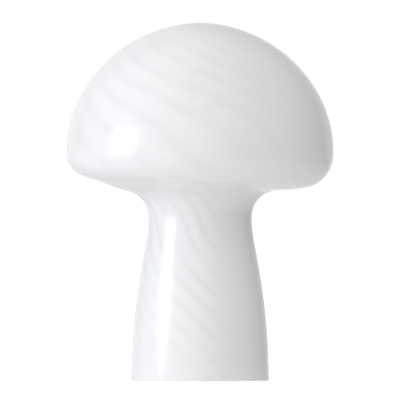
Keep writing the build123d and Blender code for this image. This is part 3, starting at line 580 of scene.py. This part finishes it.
FUSED_BLACK = Moulded("black_insulator", BLACK, GREYED_BLACK, 0.12, 300.0, 0.02 * MM, 0.8)


# ---------------------------------------------------------------- surfaces worked out as arrays
class Closing(Enum):
    """How a run of rings is closed into a solid."""

    POLES = "a point in the middle of the first ring and of the last"
    LOOP = "the last ring joins the first"


def new_object(name: str, data: bpy.types.ID) -> bpy.types.Object:
    """Makes an object and puts it into the scene.

    Args:
        name: what it is called.
        data: its mesh, camera or light.

    Returns:
        The new object.
    """
    made = bpy.data.objects.new(name, data)
    bpy.context.scene.collection.objects.link(made)
    return made


def ring_solid(
    name: str, rings: Array, closing: Closing, chart: Array | None = None
) -> bpy.types.Object:
    """Makes one closed solid from rings of points.

    A face joins the points (i, j), (i, j+1), (i+1, j+1) and (i+1, j), where i counts the rings, j counts the
    points round a ring, and j starts again at the end of it. Faces are turned round if the solid's volume,
    the sum over its triangles of a . (b x c) / 6, comes out below zero.

    Args:
        name: the piece's name.
        rings: points as an array of rings x points x 3.
        closing: how the ends are closed.
        chart: a swirl map as an array of rings x (points + 1) x 2.

    Returns:
        The new object, at the origin.
    """
    count, around = rings.shape[:2]
    last = count if closing is Closing.LOOP else count - 1
    row, column = np.meshgrid(np.arange(last), np.arange(around), indexing="ij")
    row, column = row.ravel(), column.ravel()
    corner_rows = np.stack([row, row, row + 1, row + 1], axis=1)
    corner_columns = np.stack([column, column + 1, column + 1, column], axis=1)
    quads = (corner_rows % count) * around + corner_columns % around
    points = rings.reshape(-1, 3)
    triangles = np.zeros((0, 3), int)
    step = np.arange(around)
    if closing is Closing.POLES:
        points = np.vstack([points, rings[0].mean(axis=0), rings[-1].mean(axis=0)])
        first, end = count * around, (count - 1) * around
        start_fan = np.stack([np.full(around, first), (step + 1) % around, step], axis=1)
        end_fan = np.stack([np.full(around, first + 1), end + step, end + (step + 1) % around], axis=1)
        triangles = np.vstack([start_fan, end_fan])
    a, b, c, d = (points[quads[:, k]] for k in range(4))
    volume = np.sum(a * np.cross(b, c)) + np.sum(a * np.cross(c, d))
    if len(triangles):
        volume += np.sum(points[triangles[:, 0]] * np.cross(points[triangles[:, 1]], points[triangles[:, 2]]))
    turned = slice(None, None, -1 if volume < 0 else 1)
    mesh = bpy.data.meshes.new(name)
    mesh.from_pydata(points.tolist(), [], quads[:, turned].tolist() + triangles[:, turned].tolist())
    if chart is not None:
        quad_chart = chart[corner_rows, corner_columns][:, turned]
        fans = []
        for ring in (0, count - 1) if len(triangles) else ():
            near, far = chart[ring, :-1], chart[ring, 1:]
            sides = (far, near) if ring == 0 else (near, far)
            fans.append(np.stack([(near + far) / 2, *sides], axis=1))
        flat = [quad_chart.reshape(-1, 2), *(fan[:, turned].reshape(-1, 2) for fan in fans)]
        layer = mesh.uv_layers.new(name=SWIRL_MAP)
        layer.data.foreach_set("uv", np.vstack(flat).astype(np.float32).ravel())
    mesh.shade_smooth()
    mesh.set_sharp_from_angle(angle=SHARP_ANGLE)
    return new_object(name, mesh)


def clamped_cubic(knots: Array, values: Array, at: Array) -> Array:
    """The smooth curve through the values that is level at both of its ends.

    Each span is a cubic, and the bends m at the knots solve h0 m0 + 2 (h0 + h1) m1 + h1 m2 = 6 (change of
    slope), with the slope held at zero at the ends.

    Args:
        knots: places, rising.
        values: what the curve is there.
        at: where it is wanted.

    Returns:
        The curve's values.
    """
    spans, slopes = np.diff(knots), np.diff(values) / np.diff(knots)
    size = len(knots)
    system, change = np.zeros((size, size)), np.zeros(size)
    system[0, :2] = 2 * spans[0], spans[0]
    system[-1, -2:] = spans[-1], 2 * spans[-1]
    change[0], change[-1] = 6 * slopes[0], -6 * slopes[-1]
    for k in range(1, size - 1):
        system[k, k - 1 : k + 2] = spans[k - 1], 2 * (spans[k - 1] + spans[k]), spans[k]
        change[k] = 6 * (slopes[k] - slopes[k - 1])
    bends = np.linalg.solve(system, change)
    span = np.clip(np.searchsorted(knots, at) - 1, 0, size - 2)
    left, right = at - knots[span], knots[span + 1] - at
    width = spans[span]
    cubic = (bends[span] * right**3 + bends[span + 1] * left**3) / (6 * width)
    low = (values[span] / width - bends[span] * width / 6) * right
    high = (values[span + 1] / width - bends[span + 1] * width / 6) * left
    return cubic + low + high


def along(outline: Array) -> Array:
    """The length travelled along an outline at each of its points."""
    return np.concatenate([[0.0], np.cumsum(np.linalg.norm(np.diff(outline, axis=0), axis=1))])


@dataclass(frozen=True)
class Wave:
    """A slow wave over the glass: amount x sin(times x angle round + rate x share down + start)."""

    amount: float
    times: int
    rate: float
    start: float

    def at(self, around: Array, down: Array) -> Array:
        """The wave at these angles round the glass and shares of the way down it."""
        return self.amount * np.sin(self.times * around + self.rate * down + self.start)


# ---------------------------------------------------------------- sub-assemblies
@dataclass
class GlassBody:
    """The lamp's glass: cap and stem in one, twisted ribs, and a notch in the ground rim."""

    wall: float = 3.5 * MM
    foot_radius: float = 44.2 * MM
    belly: Span = (44.0 * MM, 41.9 * MM)
    shoulder: Span = (80.0 * MM, 36.5 * MM)
    neck_radius: float = 33.25 * MM
    neck_fillet: float = 16.5 * MM
    underside_rise: float = math.radians(13.0)
    cap_radius: float = 85.7 * MM
    equator: float = 149.0 * MM
    rim_band: float = 3.6 * MM
    rim_fillet: float = 18.5 * MM
    dome_exponent: float = 1.92
    edge_fillet: float = 0.8 * MM
    notch_radius: float = 4.8 * MM
    notch_height: float = 10.4 * MM
    notch_reach: float = 34.0 * MM
    ribs: int = 19
    crowding: float = 0.84
    crowded_at: float = math.radians(-48.5)
    first_rib: float = 0.267
    # The twist in degrees to the millimetre, at shares of the way from the top to the foot.
    twist: tuple[Span, ...] = (
        (0.0, 1.15), (0.16, 1.15), (0.28, 1.24), (0.41, 0.56),
        (0.55, 1.65), (0.68, 0.71), (0.82, 1.385), (1.0, 1.32),
    )
    stray: tuple[Wave, ...] = (Wave(0.05, 3, -11.0, 1.0), Wave(0.03, 7, 17.0, 2.0))
    # Places round the cap and the stem where the lines are clear: degrees, sharpness and amount.
    clear_on_cap: tuple[Triple, ...] = ((-36.0, 5, 1.0), (140.0, 4, 0.7))
    clear_on_stem: tuple[Triple, ...] = ((-5.0, 22, 0.62), (-75.0, 8, 0.65), (150.0, 4, 0.6))
    # How clear the lines are, at shares of the way from the top to the foot.
    clear_down: tuple[Span, ...] = (
        (0.0, 0.0), (0.12, 0.14), (0.20, 0.32), (0.30, 0.46), (0.40, 0.40), (0.50, 0.20), (0.60, 0.6),
        (0.68, 0.90), (0.78, 0.70), (0.84, 0.52), (0.90, 0.48), (0.96, 0.14), (1.0, 0.0),
    )
    # The shares of the way down between which the cap's ways give place to the stem's.
    cap_ends: Span = (0.42, 0.62)
    clear_cap_ends: Span = (0.46, 0.62)
    hang: float = 2.65 * MM
    hang_exponent: float = 0.9
    hang_shift: float = 0.1
    cap_relief: float = 0.04 * MM
    stem_relief: float = 0.12 * MM
    wobble: float = 0.10 * MM
    wobble_starts: float = 0.1
    swell_level: float = 0.5
    swell: tuple[Wave, ...] = (Wave(0.25, 3, 9.0, 0.0), Wave(0.25, 2, -15.0, 1.0))
    outer_pitch: float = 1.6 * MM
    inner_pitch: float = 4.0 * MM
    columns: int = 286
    arch_columns: int = 17
    arch_margin: float = 0.03 * MM
    arch_fade: float = 0.25
    edge_points: int = 5
    twist_points: int = 400
    dome_points: int = 260
    arc_points: int = 60
    stem_points: int = 200
    pole_angle: float = 0.012

    def nodes(self) -> list[str]:
        """The glass's solids, which are parts of one blown piece."""
        return frame["record"]["behaviour"]["bodies"]["glass"]

    def neck_height(self) -> float:
        """Where the stem is at its narrowest.

        The underside is a line that slopes by a and touches two circles: the rim's, of radius R, and the
        flare's, of radius r. The flare's centre lies at the neck's height, which is therefore
        (R + r + run sin a) / cos a below the rim's centre, with run the distance between them across.

        Returns:
            The height above the table.
        """
        run = (self.cap_radius - self.rim_fillet) - (self.neck_radius + self.neck_fillet)
        drop = self.rim_fillet + self.neck_fillet + run * math.sin(self.underside_rise)
        return self.equator - self.rim_band - drop / math.cos(self.underside_rise)

    def outline(self, inset: float) -> tuple[Array, float, float]:
        """The outline of one side of the wall, from the middle of the top down to the foot.

        The dome is the superellipse (cap cos(a)^p, dome sin(a)^p) with p = 2 / exponent. Below it come an
        upright band, the rim's arc, the sloping underside, the neck's arc and the stem's cubic.

        Args:
            inset: how far inside the glass's outside the outline lies.

        Returns:
            The outline's points as (radius, height), the length along it to the equator, and the length to
            the end of the underside.
        """
        height = max(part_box(node)[1].z for node in self.nodes())
        cap, neck = self.cap_radius - inset, self.neck_radius - inset
        rim, flare = self.rim_fillet - inset, self.neck_fillet + inset
        neck_height = self.neck_height()
        slope = self.underside_rise
        angle = np.linspace(math.pi / 2 - self.pole_angle, 0.0, self.dome_points)
        power = 2 / self.dome_exponent
        dome_height = height - inset - self.equator
        rise = self.equator + dome_height * np.sin(angle) ** power
        dome = np.stack([cap * np.cos(angle) ** power, rise], axis=1)
        rim_centre = np.array([cap - rim, self.equator - self.rim_band])
        turn = np.linspace(0.0, slope - math.pi / 2, self.arc_points)
        rim_arc = rim_centre + rim * np.stack([np.cos(turn), np.sin(turn)], axis=1)
        neck_centre = np.array([neck + flare, neck_height])
        turn = np.linspace(math.pi / 2 + slope, math.pi, self.arc_points)
        neck_arc = neck_centre + flare * np.stack([np.cos(turn), np.sin(turn)], axis=1)
        heights = np.linspace(neck_height, 0.0, self.stem_points)[1:]
        stem = np.stack([self.stem_radius(heights) - inset, heights], axis=1)
        upper = np.vstack([dome, rim_arc])
        outline = np.vstack([upper, neck_arc, stem])
        travelled = along(outline)
        return outline, travelled[len(dome) - 1], travelled[len(upper)]

    def stem_radius(self, heights: Array) -> Array:
        """The stem's outer radius: a cubic through foot, belly, shoulder and neck.

        Args:
            heights: above the table.

        Returns:
            The radius at each.
        """
        knots = np.array([0.0, self.belly[0], self.shoulder[0], self.neck_height()])
        values = np.array([self.foot_radius, self.belly[1], self.shoulder[1], self.neck_radius])
        return clamped_cubic(knots, values, heights)

    def spread(self, inset: float, pitch: float) -> tuple[Array, Array, Array, Array]:
        """Points at an even spacing down one side of the wall, as far as the rim's rounded edge.

        Args:
            inset: how far inside the glass's outside the points lie.
            pitch: the spacing.

        Returns:
            The points as (radius, height), their outward normals, the share of the length to the foot at
            each, and the share of the way from the neck to the equator.
        """
        outline, to_equator, to_neck = self.outline(inset)
        travelled = along(outline)
        end = travelled[-1] - self.edge_fillet
        length = np.linspace(0.0, end, int(round(end / pitch)) + 1)
        points = np.stack([np.interp(length, travelled, outline[:, k]) for k in range(2)], axis=1)
        forward = np.gradient(points, axis=0)
        forward /= np.linalg.norm(forward, axis=1, keepdims=True)
        normals = np.stack([-forward[:, 1], forward[:, 0]], axis=1)
        up_underside = np.clip((to_neck - length) / (to_neck - to_equator), 0.0, 1.0)
        return points, normals, length / travelled[-1], up_underside

    def phase(self, share: Array, azimuth: Array) -> Array:
        """Counts ribs round the glass, so that a whole number lies on a line.

        The count is ribs x (front - turned) / (2 pi), with front the angle from the front and turned the
        twist added up along the outline. The lines crowd on one side of the cap, as hand work does: the
        count has crowding x sin(front - crowded_at) taken off there, and it strays by two slow waves.

        Args:
            share: the share of the way from the top to the foot.
            azimuth: the angle round the axis from the back, clockwise seen from above.

        Returns:
            The count, as an array of shares x azimuths.
        """
        outline, *_ = self.outline(0.0)
        length = along(outline)[-1] / MM
        at = np.linspace(0.0, 1.0, self.twist_points)
        twist = np.radians(np.interp(at, *np.array(self.twist).T))
        turned = np.concatenate([[0.0], np.cumsum((twist[1:] + twist[:-1]) / 2 * np.diff(at) * length)])
        front = math.pi - azimuth[None, :]
        down = share[:, None]
        crowding = self.crowding * self.on_cap(down)
        wander = sum(wave.at(front, down) for wave in self.stray)
        wander -= crowding * np.sin(front - self.crowded_at)
        count = self.ribs * (front - np.interp(share, at, turned)[:, None]) / (2 * math.pi)
        return count + wander + self.first_rib

    def on_cap(self, share: Array) -> Array:
        """1 on the cap, 0 on the stem and between them on the way over, at these shares of the way down."""
        return np.interp(share, self.cap_ends, [1.0, 0.0])

    def strength(self, share: Array, azimuth: Array) -> Array:
        """How clear the lines are, which differs round the cap and round the stem.

        Round either, it is the sum of amount x ((1 + cos(front - middle)) / 2)^sharpness over its places,
        with front the angle from the front, and down the glass it rises and falls from the top to the foot.

        Args:
            share: the share of the way from the top to the foot.
            azimuth: the angle round the axis from the back, clockwise seen from above.

        Returns:
            The clearness, as an array of shares x azimuths.
        """
        down, front = share[:, None], math.pi - azimuth[None, :]
        cap, stem = (
            sum(
                amount * ((1 + np.cos(front - math.radians(middle))) / 2) ** sharpness
                for middle, sharpness, amount in places
            )
            for places in (self.clear_on_cap, self.clear_on_stem)
        )
        on_stem = np.interp(down, self.clear_cap_ends, [0.0, 1.0])
        places, clearness = np.array(self.clear_down).T
        return (cap * (1 - on_stem) + stem * on_stem) * np.interp(down, places, clearness)

    def notch(self) -> tuple[Array, Array, Array]:
        """Columns of points round the glass, close together at the notch.

        Over the notch a column starts at the arch, notch_height + sqrt(radius^2 - x^2), and on either side
        of it at the table.

        Returns:
            The columns' azimuths on the outside, those on the inside, and the heights at which they start.
        """
        arch = -self.notch_radius * np.cos(np.linspace(0.0, math.pi, self.arch_columns))
        lift = self.notch_height + np.sqrt(np.maximum(self.notch_radius**2 - arch**2, 0.0))
        beside = self.notch_radius + self.arch_margin
        across = np.concatenate([[-beside], arch, [beside]])
        outer = np.arcsin(across / self.foot_radius)
        inner = np.arcsin(across / (self.foot_radius - self.wall))
        rest = np.linspace(outer[-1], 2 * math.pi + outer[0], self.columns + 2)[1:-1]
        away = np.minimum(rest, 2 * math.pi - rest) - outer[-1]
        fade = np.clip(1 - away / self.arch_fade, 0.0, 1.0)
        shift = (inner[-1] - outer[-1]) * fade * np.sign(math.pi - rest)
        lifts = np.concatenate([[0.0], lift, np.zeros(self.columns + 1)])
        return np.concatenate([outer, rest]), np.concatenate([inner, rest + shift]), lifts

    def rings(self) -> tuple[Array, Array]:
        """All the rings of the glass, down its outside, round the ground rim and up its inside.

        A point's radius and height come from the outline. The outside moves inwards along its normal by
        the groove, relief x ((1 + cos(2 pi phase)) / 2)^2 x strength, and by wobble x (level + the swell's
        waves). The underside hangs by hang x sin(pi s^e)^2 x (the share of the way to +X), with s from 0 at
        the neck to 1 at the equator and e from 0.8 at +X to 1 at -X. Below notch_reach the heights close up
        towards the notch's arch.

        Returns:
            The rings as rings x columns x 3, and the swirl map as rings x (columns + 1) x 2.
        """
        outer_turn, inner_turn, lifts = self.notch()
        outer, normals, outer_share, outer_rise = self.spread(0.0, self.outer_pitch)
        inner, _, inner_share, inner_rise = self.spread(self.wall, self.inner_pitch)
        arc = np.linspace(0.0, math.pi / 2, self.edge_points)[1:]
        fillet = self.edge_fillet
        rounded = np.stack([np.cos(arc) - 1, 1 - np.sin(arc)], axis=1) * fillet
        rim_out = np.stack([self.foot_radius + rounded[:, 0], rounded[:, 1]], axis=1)
        rim_in = np.stack([self.foot_radius - self.wall - rounded[::-1, 0], rounded[::-1, 1]], axis=1)
        section = np.vstack([outer, rim_out, rim_in, inner[::-1]])
        share = np.concatenate([outer_share, np.ones(2 * len(arc)), inner_share[::-1]])
        rise = np.concatenate([outer_rise, np.zeros(2 * len(arc)), inner_rise[::-1]])[:, None]
        right = np.sin(outer_turn)[None, :]
        exponent = self.hang_exponent - self.hang_shift * right
        hanging = self.hang * np.sin(math.pi * rise**exponent) ** 2 * right
        outside = len(outer) + len(arc)
        is_outside = (np.arange(len(section)) < outside)[:, None]
        turn = np.where(is_outside, outer_turn[None, :], inner_turn[None, :])
        phase, strength = self.phase(share, outer_turn), self.strength(share, outer_turn)
        down = share[:, None]
        on_cap = self.on_cap(down)
        depth = self.cap_relief * on_cap + self.stem_relief * (1 - on_cap)
        groove = ((1 + np.cos(2 * math.pi * phase)) / 2) ** 2
        swell = sum((wave.at(outer_turn[None, :], down) for wave in self.swell), self.swell_level)
        wobble = self.wobble * swell * np.clip(down / self.wobble_starts, 0, 1)
        inward = depth * groove * strength + wobble
        inward[len(outer) :] = 0.0
        full_normals = np.zeros_like(section)
        full_normals[: len(outer)] = normals
        radius = section[:, :1] - inward * full_normals[:, :1]
        height = section[:, 1:] - inward * full_normals[:, 1:] - hanging
        low = np.clip(1 - height / self.notch_reach, 0.0, 1.0)
        raised = height + lifts[None, :] * low
        stem_now = self.stem_radius(np.clip(height, 0, self.notch_reach))
        stem_then = self.stem_radius(np.clip(raised, 0, self.notch_reach))
        radius = radius + stem_then - stem_now
        rings = np.stack([radius * np.sin(turn), radius * np.cos(turn), raised], axis=2)
        around = np.concatenate([outer_turn, outer_turn[:1] + 2 * math.pi])
        chart = np.stack([self.phase(share, around), self.strength(share, around)], axis=2)
        return rings, chart

    def build(self) -> Pieces:
        """Makes the glass in place of its plain solid.

        Returns:
            The glass alone.
        """
        rings, chart = self.rings()
        piece = ring_solid("opal_glass", rings, Closing.POLES, chart)
        piece.data.materials.append(OpalGlass("opal_glass").material())
        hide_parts(*self.nodes())
        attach(piece, "glass")
        return [piece]


def dress(finish: Finish, *nodes: str) -> Pieces:
    """Gives CAD nodes a finish in place of the plain colour that they come with.

    Args:
        finish: what they are made of.
        nodes: their names.

    Returns:
        The nodes' objects.
    """
    material = finish.material()
    dressed = [frame["nodes"][name] for name in nodes]
    for piece in dressed:
        piece.data.materials.clear()
        piece.data.materials.append(material)
    return dressed


@dataclass
class BasePan:
    """The pan, its cover and feet, the bush for the cord and the terminal block."""

    def build(self) -> Pieces:
        """Gives the painted, plated and moulded pieces their finishes.

        Returns:
            The pan's pieces.
        """
        pieces = dress(WHITE_STEEL, "base_pan", "bottom_cover")
        pieces += dress(RUBBER, "rubber_feet")
        pieces += dress(ZINC, "standoffs", "cover_screws", "clamp_screws", "block_screw")
        pieces += dress(WHITE_NYLON, "cord_gland")
        pieces += dress(MILKY_NYLON, "terminal_block")
        pieces += dress(BRASS, "terminal_barrels")
        return pieces


@dataclass
class ThreadedTube:
    """The M10 tube with its thread, the nuts and the washer."""

    pitch: float = 1.0 * MM
    depth: float = 0.55 * MM
    wall: float = 1.0 * MM
    chamfer: float = 0.6 * MM
    steps_per_turn: int = 6
    points_round: int = 40

    def build(self) -> Pieces:
        """Makes the tube with a real thread and dresses what holds it.

        The radius is the tube's less depth x the distance from the thread's crest, a triangle wave of
        height / pitch - angle / (2 pi), and the ends are cut back to a cone. The bore is plain.

        Returns:
            The tube, its nuts and its washer.
        """
        low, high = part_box("threaded_tube")
        outside, bore = high.x, high.x - self.wall
        rows = int((high.z - low.z) / self.pitch * self.steps_per_turn)
        height = np.linspace(low.z, high.z, rows + 1)[:, None]
        angle = np.linspace(0, 2 * math.pi, self.points_round, endpoint=False)[None, :]
        turns = (height - low.z) / self.pitch - angle / (2 * math.pi)
        valley = np.abs((turns % 1.0) * 2 - 1)
        end = np.minimum(height - low.z, high.z - height)
        radius = np.minimum(outside - self.depth * valley, outside - self.chamfer + end)
        bores = np.full((2, 1), bore) * np.ones_like(angle)
        radius = np.vstack([radius, bores])
        heights = np.vstack([height, [[high.z]], [[low.z]]]) * np.ones_like(angle)
        rings = np.stack([radius * np.cos(angle), radius * np.sin(angle), heights], axis=2)
        tube = ring_solid("threaded_tube_cut", rings, Closing.LOOP)
        tube.data.materials.append(ZINC.material())
        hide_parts("threaded_tube")
        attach(tube, "fitting")
        return [tube, *dress(ZINC, "tube_nut_lower", "tube_nut_upper"), *dress(SPRING_STEEL, "lock_washer")]


@dataclass
class CentringSpring:
    """The hub and its three arms, with their soft sleeves."""

    def build(self) -> Pieces:
        """Dresses the spring's pieces."""
        pieces = dress(SPRING_STEEL, "spring_hub", "spring_arm_a", "spring_arm_b", "spring_arm_c")
        return pieces + dress(SILICONE, "arm_pad_a", "arm_pad_b", "arm_pad_c")


@dataclass
class LampHolder:
    """The E14 holder: mouldings, porcelain core, terminals, shell and the sprung contact."""

    spring_wire: float = 0.25 * MM
    spring_turns: int = 5
    steps_per_turn: int = 36
    points_round: int = 10
    travel: float = 1.5 * MM

    def build(self) -> Pieces:
        """Winds the contact's spring and dresses the rest.

        The wire's middle is the helix (r cos(a), r sin(a), z + rise a / (2 pi turns)), and each ring is a
        circle of the wire's radius across it.

        Returns:
            The spring and the holder's other pieces.
        """
        low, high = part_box("contact_spring")
        radius = high.x - self.spring_wire
        rise = high.z - low.z - 2 * self.spring_wire
        turn = np.linspace(0, 2 * math.pi * self.spring_turns, self.spring_turns * self.steps_per_turn + 1)
        out = np.stack([np.cos(turn), np.sin(turn), np.zeros_like(turn)], axis=1)
        middle = out * radius
        middle[:, 2] = low.z + self.spring_wire + rise * turn / turn[-1]
        forward = np.gradient(middle, axis=0)
        forward /= np.linalg.norm(forward, axis=1, keepdims=True)
        side = np.cross(forward, out)
        around = np.linspace(0, 2 * math.pi, self.points_round, endpoint=False)[None, :, None]
        ring = np.cos(around) * out[:, None, :] + np.sin(around) * side[:, None, :]
        rings = middle[:, None, :] + self.spring_wire * ring
        spring = ring_solid("contact_spring_coil", rings, Closing.POLES)
        spring.data.materials.append(SPRING_STEEL.material())
        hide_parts("contact_spring")
        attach(spring, "fitting")
        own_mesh(spring)
        pieces = [spring, *dress(THERMOSET, "holder_cap", "holder_body"), *dress(PORCELAIN, "holder_core")]
        pieces += dress(BRASS, "live_terminal", "neutral_terminal", "centre_contact")
        pieces += dress(ZINC, "holder_lock_screw", "terminal_screws")
        return pieces + dress(NICKEL, "holder_shell")


@dataclass
class Wiring:
    """The two leads inside the lamp."""

    def build(self) -> Pieces:
        """Dresses each lead in its own colour.

        Returns:
            The leads.
        """
        pieces = []
        for node, lead in (("lead_live", LeadColour.LIVE), ("lead_neutral", LeadColour.NEUTRAL)):
            pieces += dress(Moulded(f"{node}_insulation", *lead.value, 0.36, 600.0, 0.02 * MM), node)
        return pieces


@dataclass
class Bulb:
    """The golf ball bulb with its four filaments."""

    def build(self) -> Pieces:
        """Gives the glass, the cap and what is inside their finishes.

        Returns:
            The bulb's pieces.
        """
        pieces = dress(ClearGlass("bulb_glass"), "bulb_envelope", "bulb_stem")
        pieces += dress(NICKEL, "bulb_cap", "bulb_wires")
        pieces += dress(FUSED_BLACK, "bulb_insulator")
        pieces += dress(SOLDER, "bulb_contact")
        pieces += dress(CircuitBoard("driver_board"), "bulb_driver")
        return pieces + dress(Phosphor("filament_phosphor"), "bulb_filaments")


# ---------------------------------------------------------------- studio
WHITE = (1.0, 1.0, 1.0)
# The y part of a direction at which the backdrop that reflections see starts, and is whole.
BACKDROP_EDGE = (0.62, 0.96)


@dataclass(frozen=True)
class PaleFloor(Finish):
    """The pale floor, which keeps the lamp's shadow and runs into the white background."""

    pale: Colour = (0.90, 0.90, 0.90)
    # Painted shade: the floor's colour far out on the right, darker so that reflections in the glass show the
    # room's darker side.
    painted_shade_grey: Colour = (0.30, 0.30, 0.30)
    lit: float = 0.578
    painted_shade_at: Span = (0.12, 0.8)
    mirrored: float = 0.72
    mirrored_from: Span = (0.1, 1.6)
    grain_per_metre: float = 40.0
    roughness: float = 0.7
    dulling: float = 0.05

    def surface(self, shader: Shader) -> Signal:
        """A matt surface whose colour is painted darker far out on the right, a painted shade that stands for
        the room's darker side in the glass's reflections.

        For the camera it is lifted from what the light makes of it, lit x its colour, to the background's
        white. In reflections it is lifted to the level mirrored, and only far behind the lamp.

        Args:
            shader: the tree to fill.

        Returns:
            The floor.
        """
        place = shader.place()
        across, behind, _ = shader.parts(place)
        # Painted shade: the colour darkens far out on the right; for the camera the lift below makes it white
        # again.
        painted_shade_mask = shader.step(across, *self.painted_shade_at)
        matt = shader.principled(
            Base_Color=shader.blend(painted_shade_mask, self.pale, self.painted_shade_grey),
            Roughness=shader.noise(place, self.grain_per_metre, 3.0) * self.dulling + self.roughness,
            Specular_IOR_Level=0.0,
        )
        camera, glossy, through = seen_by(shader)
        direction = shader.node("ShaderNodeVectorMath", {"operation": "NORMALIZE"}, {0: place}, "Vector")
        _, back_way, _ = shader.parts(direction)
        standing = shader.step(back_way, *BACKDROP_EDGE) * shader.step(behind, *self.mirrored_from)
        made = painted_shade_mask * (self.lit * (self.painted_shade_grey[0] - self.pale[0])) + self.lit * self.pale[0]
        lift = camera.math("MAXIMUM", through) * (1.0 - made) + glossy * standing * (self.mirrored - made)
        glow = shader.node("ShaderNodeEmission", {}, {"Color": (*WHITE, 1.0), "Strength": lift})
        return shader.node("ShaderNodeAddShader", {}, {0: matt, 1: glow})


def seen_by(shader: Shader) -> list[Signal]:
    """1 where the camera looks, where a reflection looks and where a view through glass looks, else 0."""
    path = shader.node("ShaderNodeLightPath").socket.node.outputs
    return [Signal(shader, path[name]) for name in ("Is Camera Ray", "Is Glossy Ray", "Is Transmission Ray")]


@dataclass
class Studio:
    """The camera, the floor, the even light of the room and a round softbox to the left."""

    frame_width: float = 0.2571
    camera_across: float = -0.1 * MM
    camera_height: float = 0.1160
    lens: float = 1200.0
    sensor: float = 36.0
    floor_half: float = 60.0
    floor_drop: float = 0.1 * MM
    room_level: float = 0.415
    room_least: float = 0.15
    room_left: float = 0.19
    room_front: float = 0.285
    room_up: float = 0.50
    room_down: float = 0.44
    cool: Colour = (0.985, 1.0, 1.03)
    cools_at: Span = (0.3, -0.6)
    backdrop: float = 0.85
    backdrop_loss: float = 0.15
    loss_at: Span = (0.02, 0.34)
    overhead_at: Span = (0.08, 0.45)
    overhead_loss: float = 0.12
    right_loss: float = 0.5
    right_at: Span = (-0.2, 0.1)
    softbox_azimuth: float = math.radians(68.5)
    softbox_elevation: float = math.radians(9.0)
    softbox_breadth: float = 1.12
    softbox_distance: float = 1.3
    softbox_layers: tuple[Span, ...] = ((0.92, 0.35), (0.66, 0.8), (0.61, 0.8), (0.54, 0.8), (0.44, 0.9))

    def build(self) -> None:
        """Sets up all that isn't the lamp."""
        self.camera()
        self.floor()
        self.room()
        self.softbox()
        bpy.context.scene.view_settings.view_transform = "Standard"

    def camera(self) -> None:
        """A level camera with a long lens, as the photograph's flat foot shows."""
        data = bpy.data.cameras.new("camera")
        data.lens = self.lens
        data.sensor_width = self.sensor
        distance = self.frame_width * self.lens / self.sensor
        data.clip_start, data.clip_end = 0.1, 10 * distance
        camera = new_object("camera", data)
        camera.location = (self.camera_across, -distance, self.camera_height)
        camera.rotation_euler = (math.pi / 2, 0.0, 0.0)
        bpy.context.scene.camera = camera

    def floor(self) -> None:
        """One large flat sheet under the lamp."""
        half, drop = self.floor_half, -self.floor_drop
        corners = [(-half, -half, drop), (half, -half, drop), (half, half, drop), (-half, half, drop)]
        mesh = bpy.data.meshes.new("floor")
        mesh.from_pydata(corners, [], [(0, 1, 2, 3)])
        mesh.materials.append(PaleFloor("pale_floor").material())
        floor = new_object("floor", mesh)
        floor.visible_diffuse = False
        floor.visible_shadow = False

    def room(self) -> None:
        """Light from all round, cooler on the left, and stronger from there, in front, above and below.

        The level in a direction d is level - left d.x - front d.y, and up |d.z| or down |d.z| more above or
        below the horizon. What the camera sees past the lamp is white. Reflections see a backdrop only behind
        the lamp, where it is a little dimmer than white, and dimmer still on the right and overhead.
        """
        world = bpy.data.worlds.new("room")
        world.use_nodes = True
        bpy.context.scene.world = world
        shader = Shader(world.node_tree)
        right, back, up = shader.parts(shader.node("ShaderNodeTexCoord", output="Generated"))
        level = self.room_level - right * self.room_left - back * self.room_front
        level = level + up.math("MAXIMUM", 0.0) * self.room_up - up.math("MINIMUM", 0.0) * self.room_down
        level = level.math("MAXIMUM", self.room_least)
        tint = shader.blend(shader.step(right, *self.cools_at), WHITE, self.cool)
        light = shader.node("ShaderNodeBackground", {}, {"Color": tint, "Strength": level})
        white = shader.node("ShaderNodeBackground", {}, {"Color": (*WHITE, 1.0), "Strength": 1.0})
        camera, glossy, through = seen_by(shader)
        on_right = shader.step(right, *self.right_at) * self.right_loss
        overhead = shader.step(up, *self.overhead_at) * (on_right + self.overhead_loss)
        whiteness = self.backdrop - shader.step(right, *self.loss_at) * self.backdrop_loss
        standing = glossy * shader.step(back, *BACKDROP_EDGE) * whiteness * (1.0 - overhead)
        seen = camera.math("MAXIMUM", through).math("MAXIMUM", standing)
        both = shader.node("ShaderNodeMixShader", {}, {0: seen, 1: light, 2: white})
        shader.node("ShaderNodeOutputWorld", {}, {"Surface": both})

    def softbox(self) -> None:
        """A rounded softbox, low on the left, that makes the highlights on the cap and down the stem.

        It is brighter towards its middle, so it is a few ellipses in one place, given as (height, radiance):
        one of height a, width b and radiance L gives off L pi^2 a b / 4 watts.
        """
        target = Vector((0.0, 0.0, self.camera_height))
        azimuth, elevation = self.softbox_azimuth, self.softbox_elevation
        flat = math.cos(elevation)
        away = Vector((-math.sin(azimuth) * flat, -math.cos(azimuth) * flat, math.sin(elevation)))
        for number, (size, radiance) in enumerate(self.softbox_layers):
            data = bpy.data.lights.new(f"softbox_{number}", "AREA")
            data.shape = "ELLIPSE"
            data.color = self.cool
            data.size, data.size_y = size * self.softbox_breadth, size
            data.energy = radiance * math.pi**2 * data.size * data.size_y / 4
            light = new_object(data.name, data)
            light.location = target + away * (self.softbox_distance + number * MM)
            light.rotation_euler = (-away).to_track_quat("-Z", "Y").to_euler()
            light.visible_camera = False


def main() -> None:
    """Builds the studio and then the lamp, from the glass inwards."""
    logging.basicConfig(level=logging.INFO, format="%(message)s")
    Studio().build()
    fitting = (BasePan(), ThreadedTube(), CentringSpring(), LampHolder(), Wiring())
    for assembly in (GlassBody(), *fitting, Bulb()):
        for piece in assembly.build():
            log.info("%s: %s, %d faces", type(assembly).__name__, piece.name, len(piece.data.polygons))


if __name__ == "__main__":
    main()
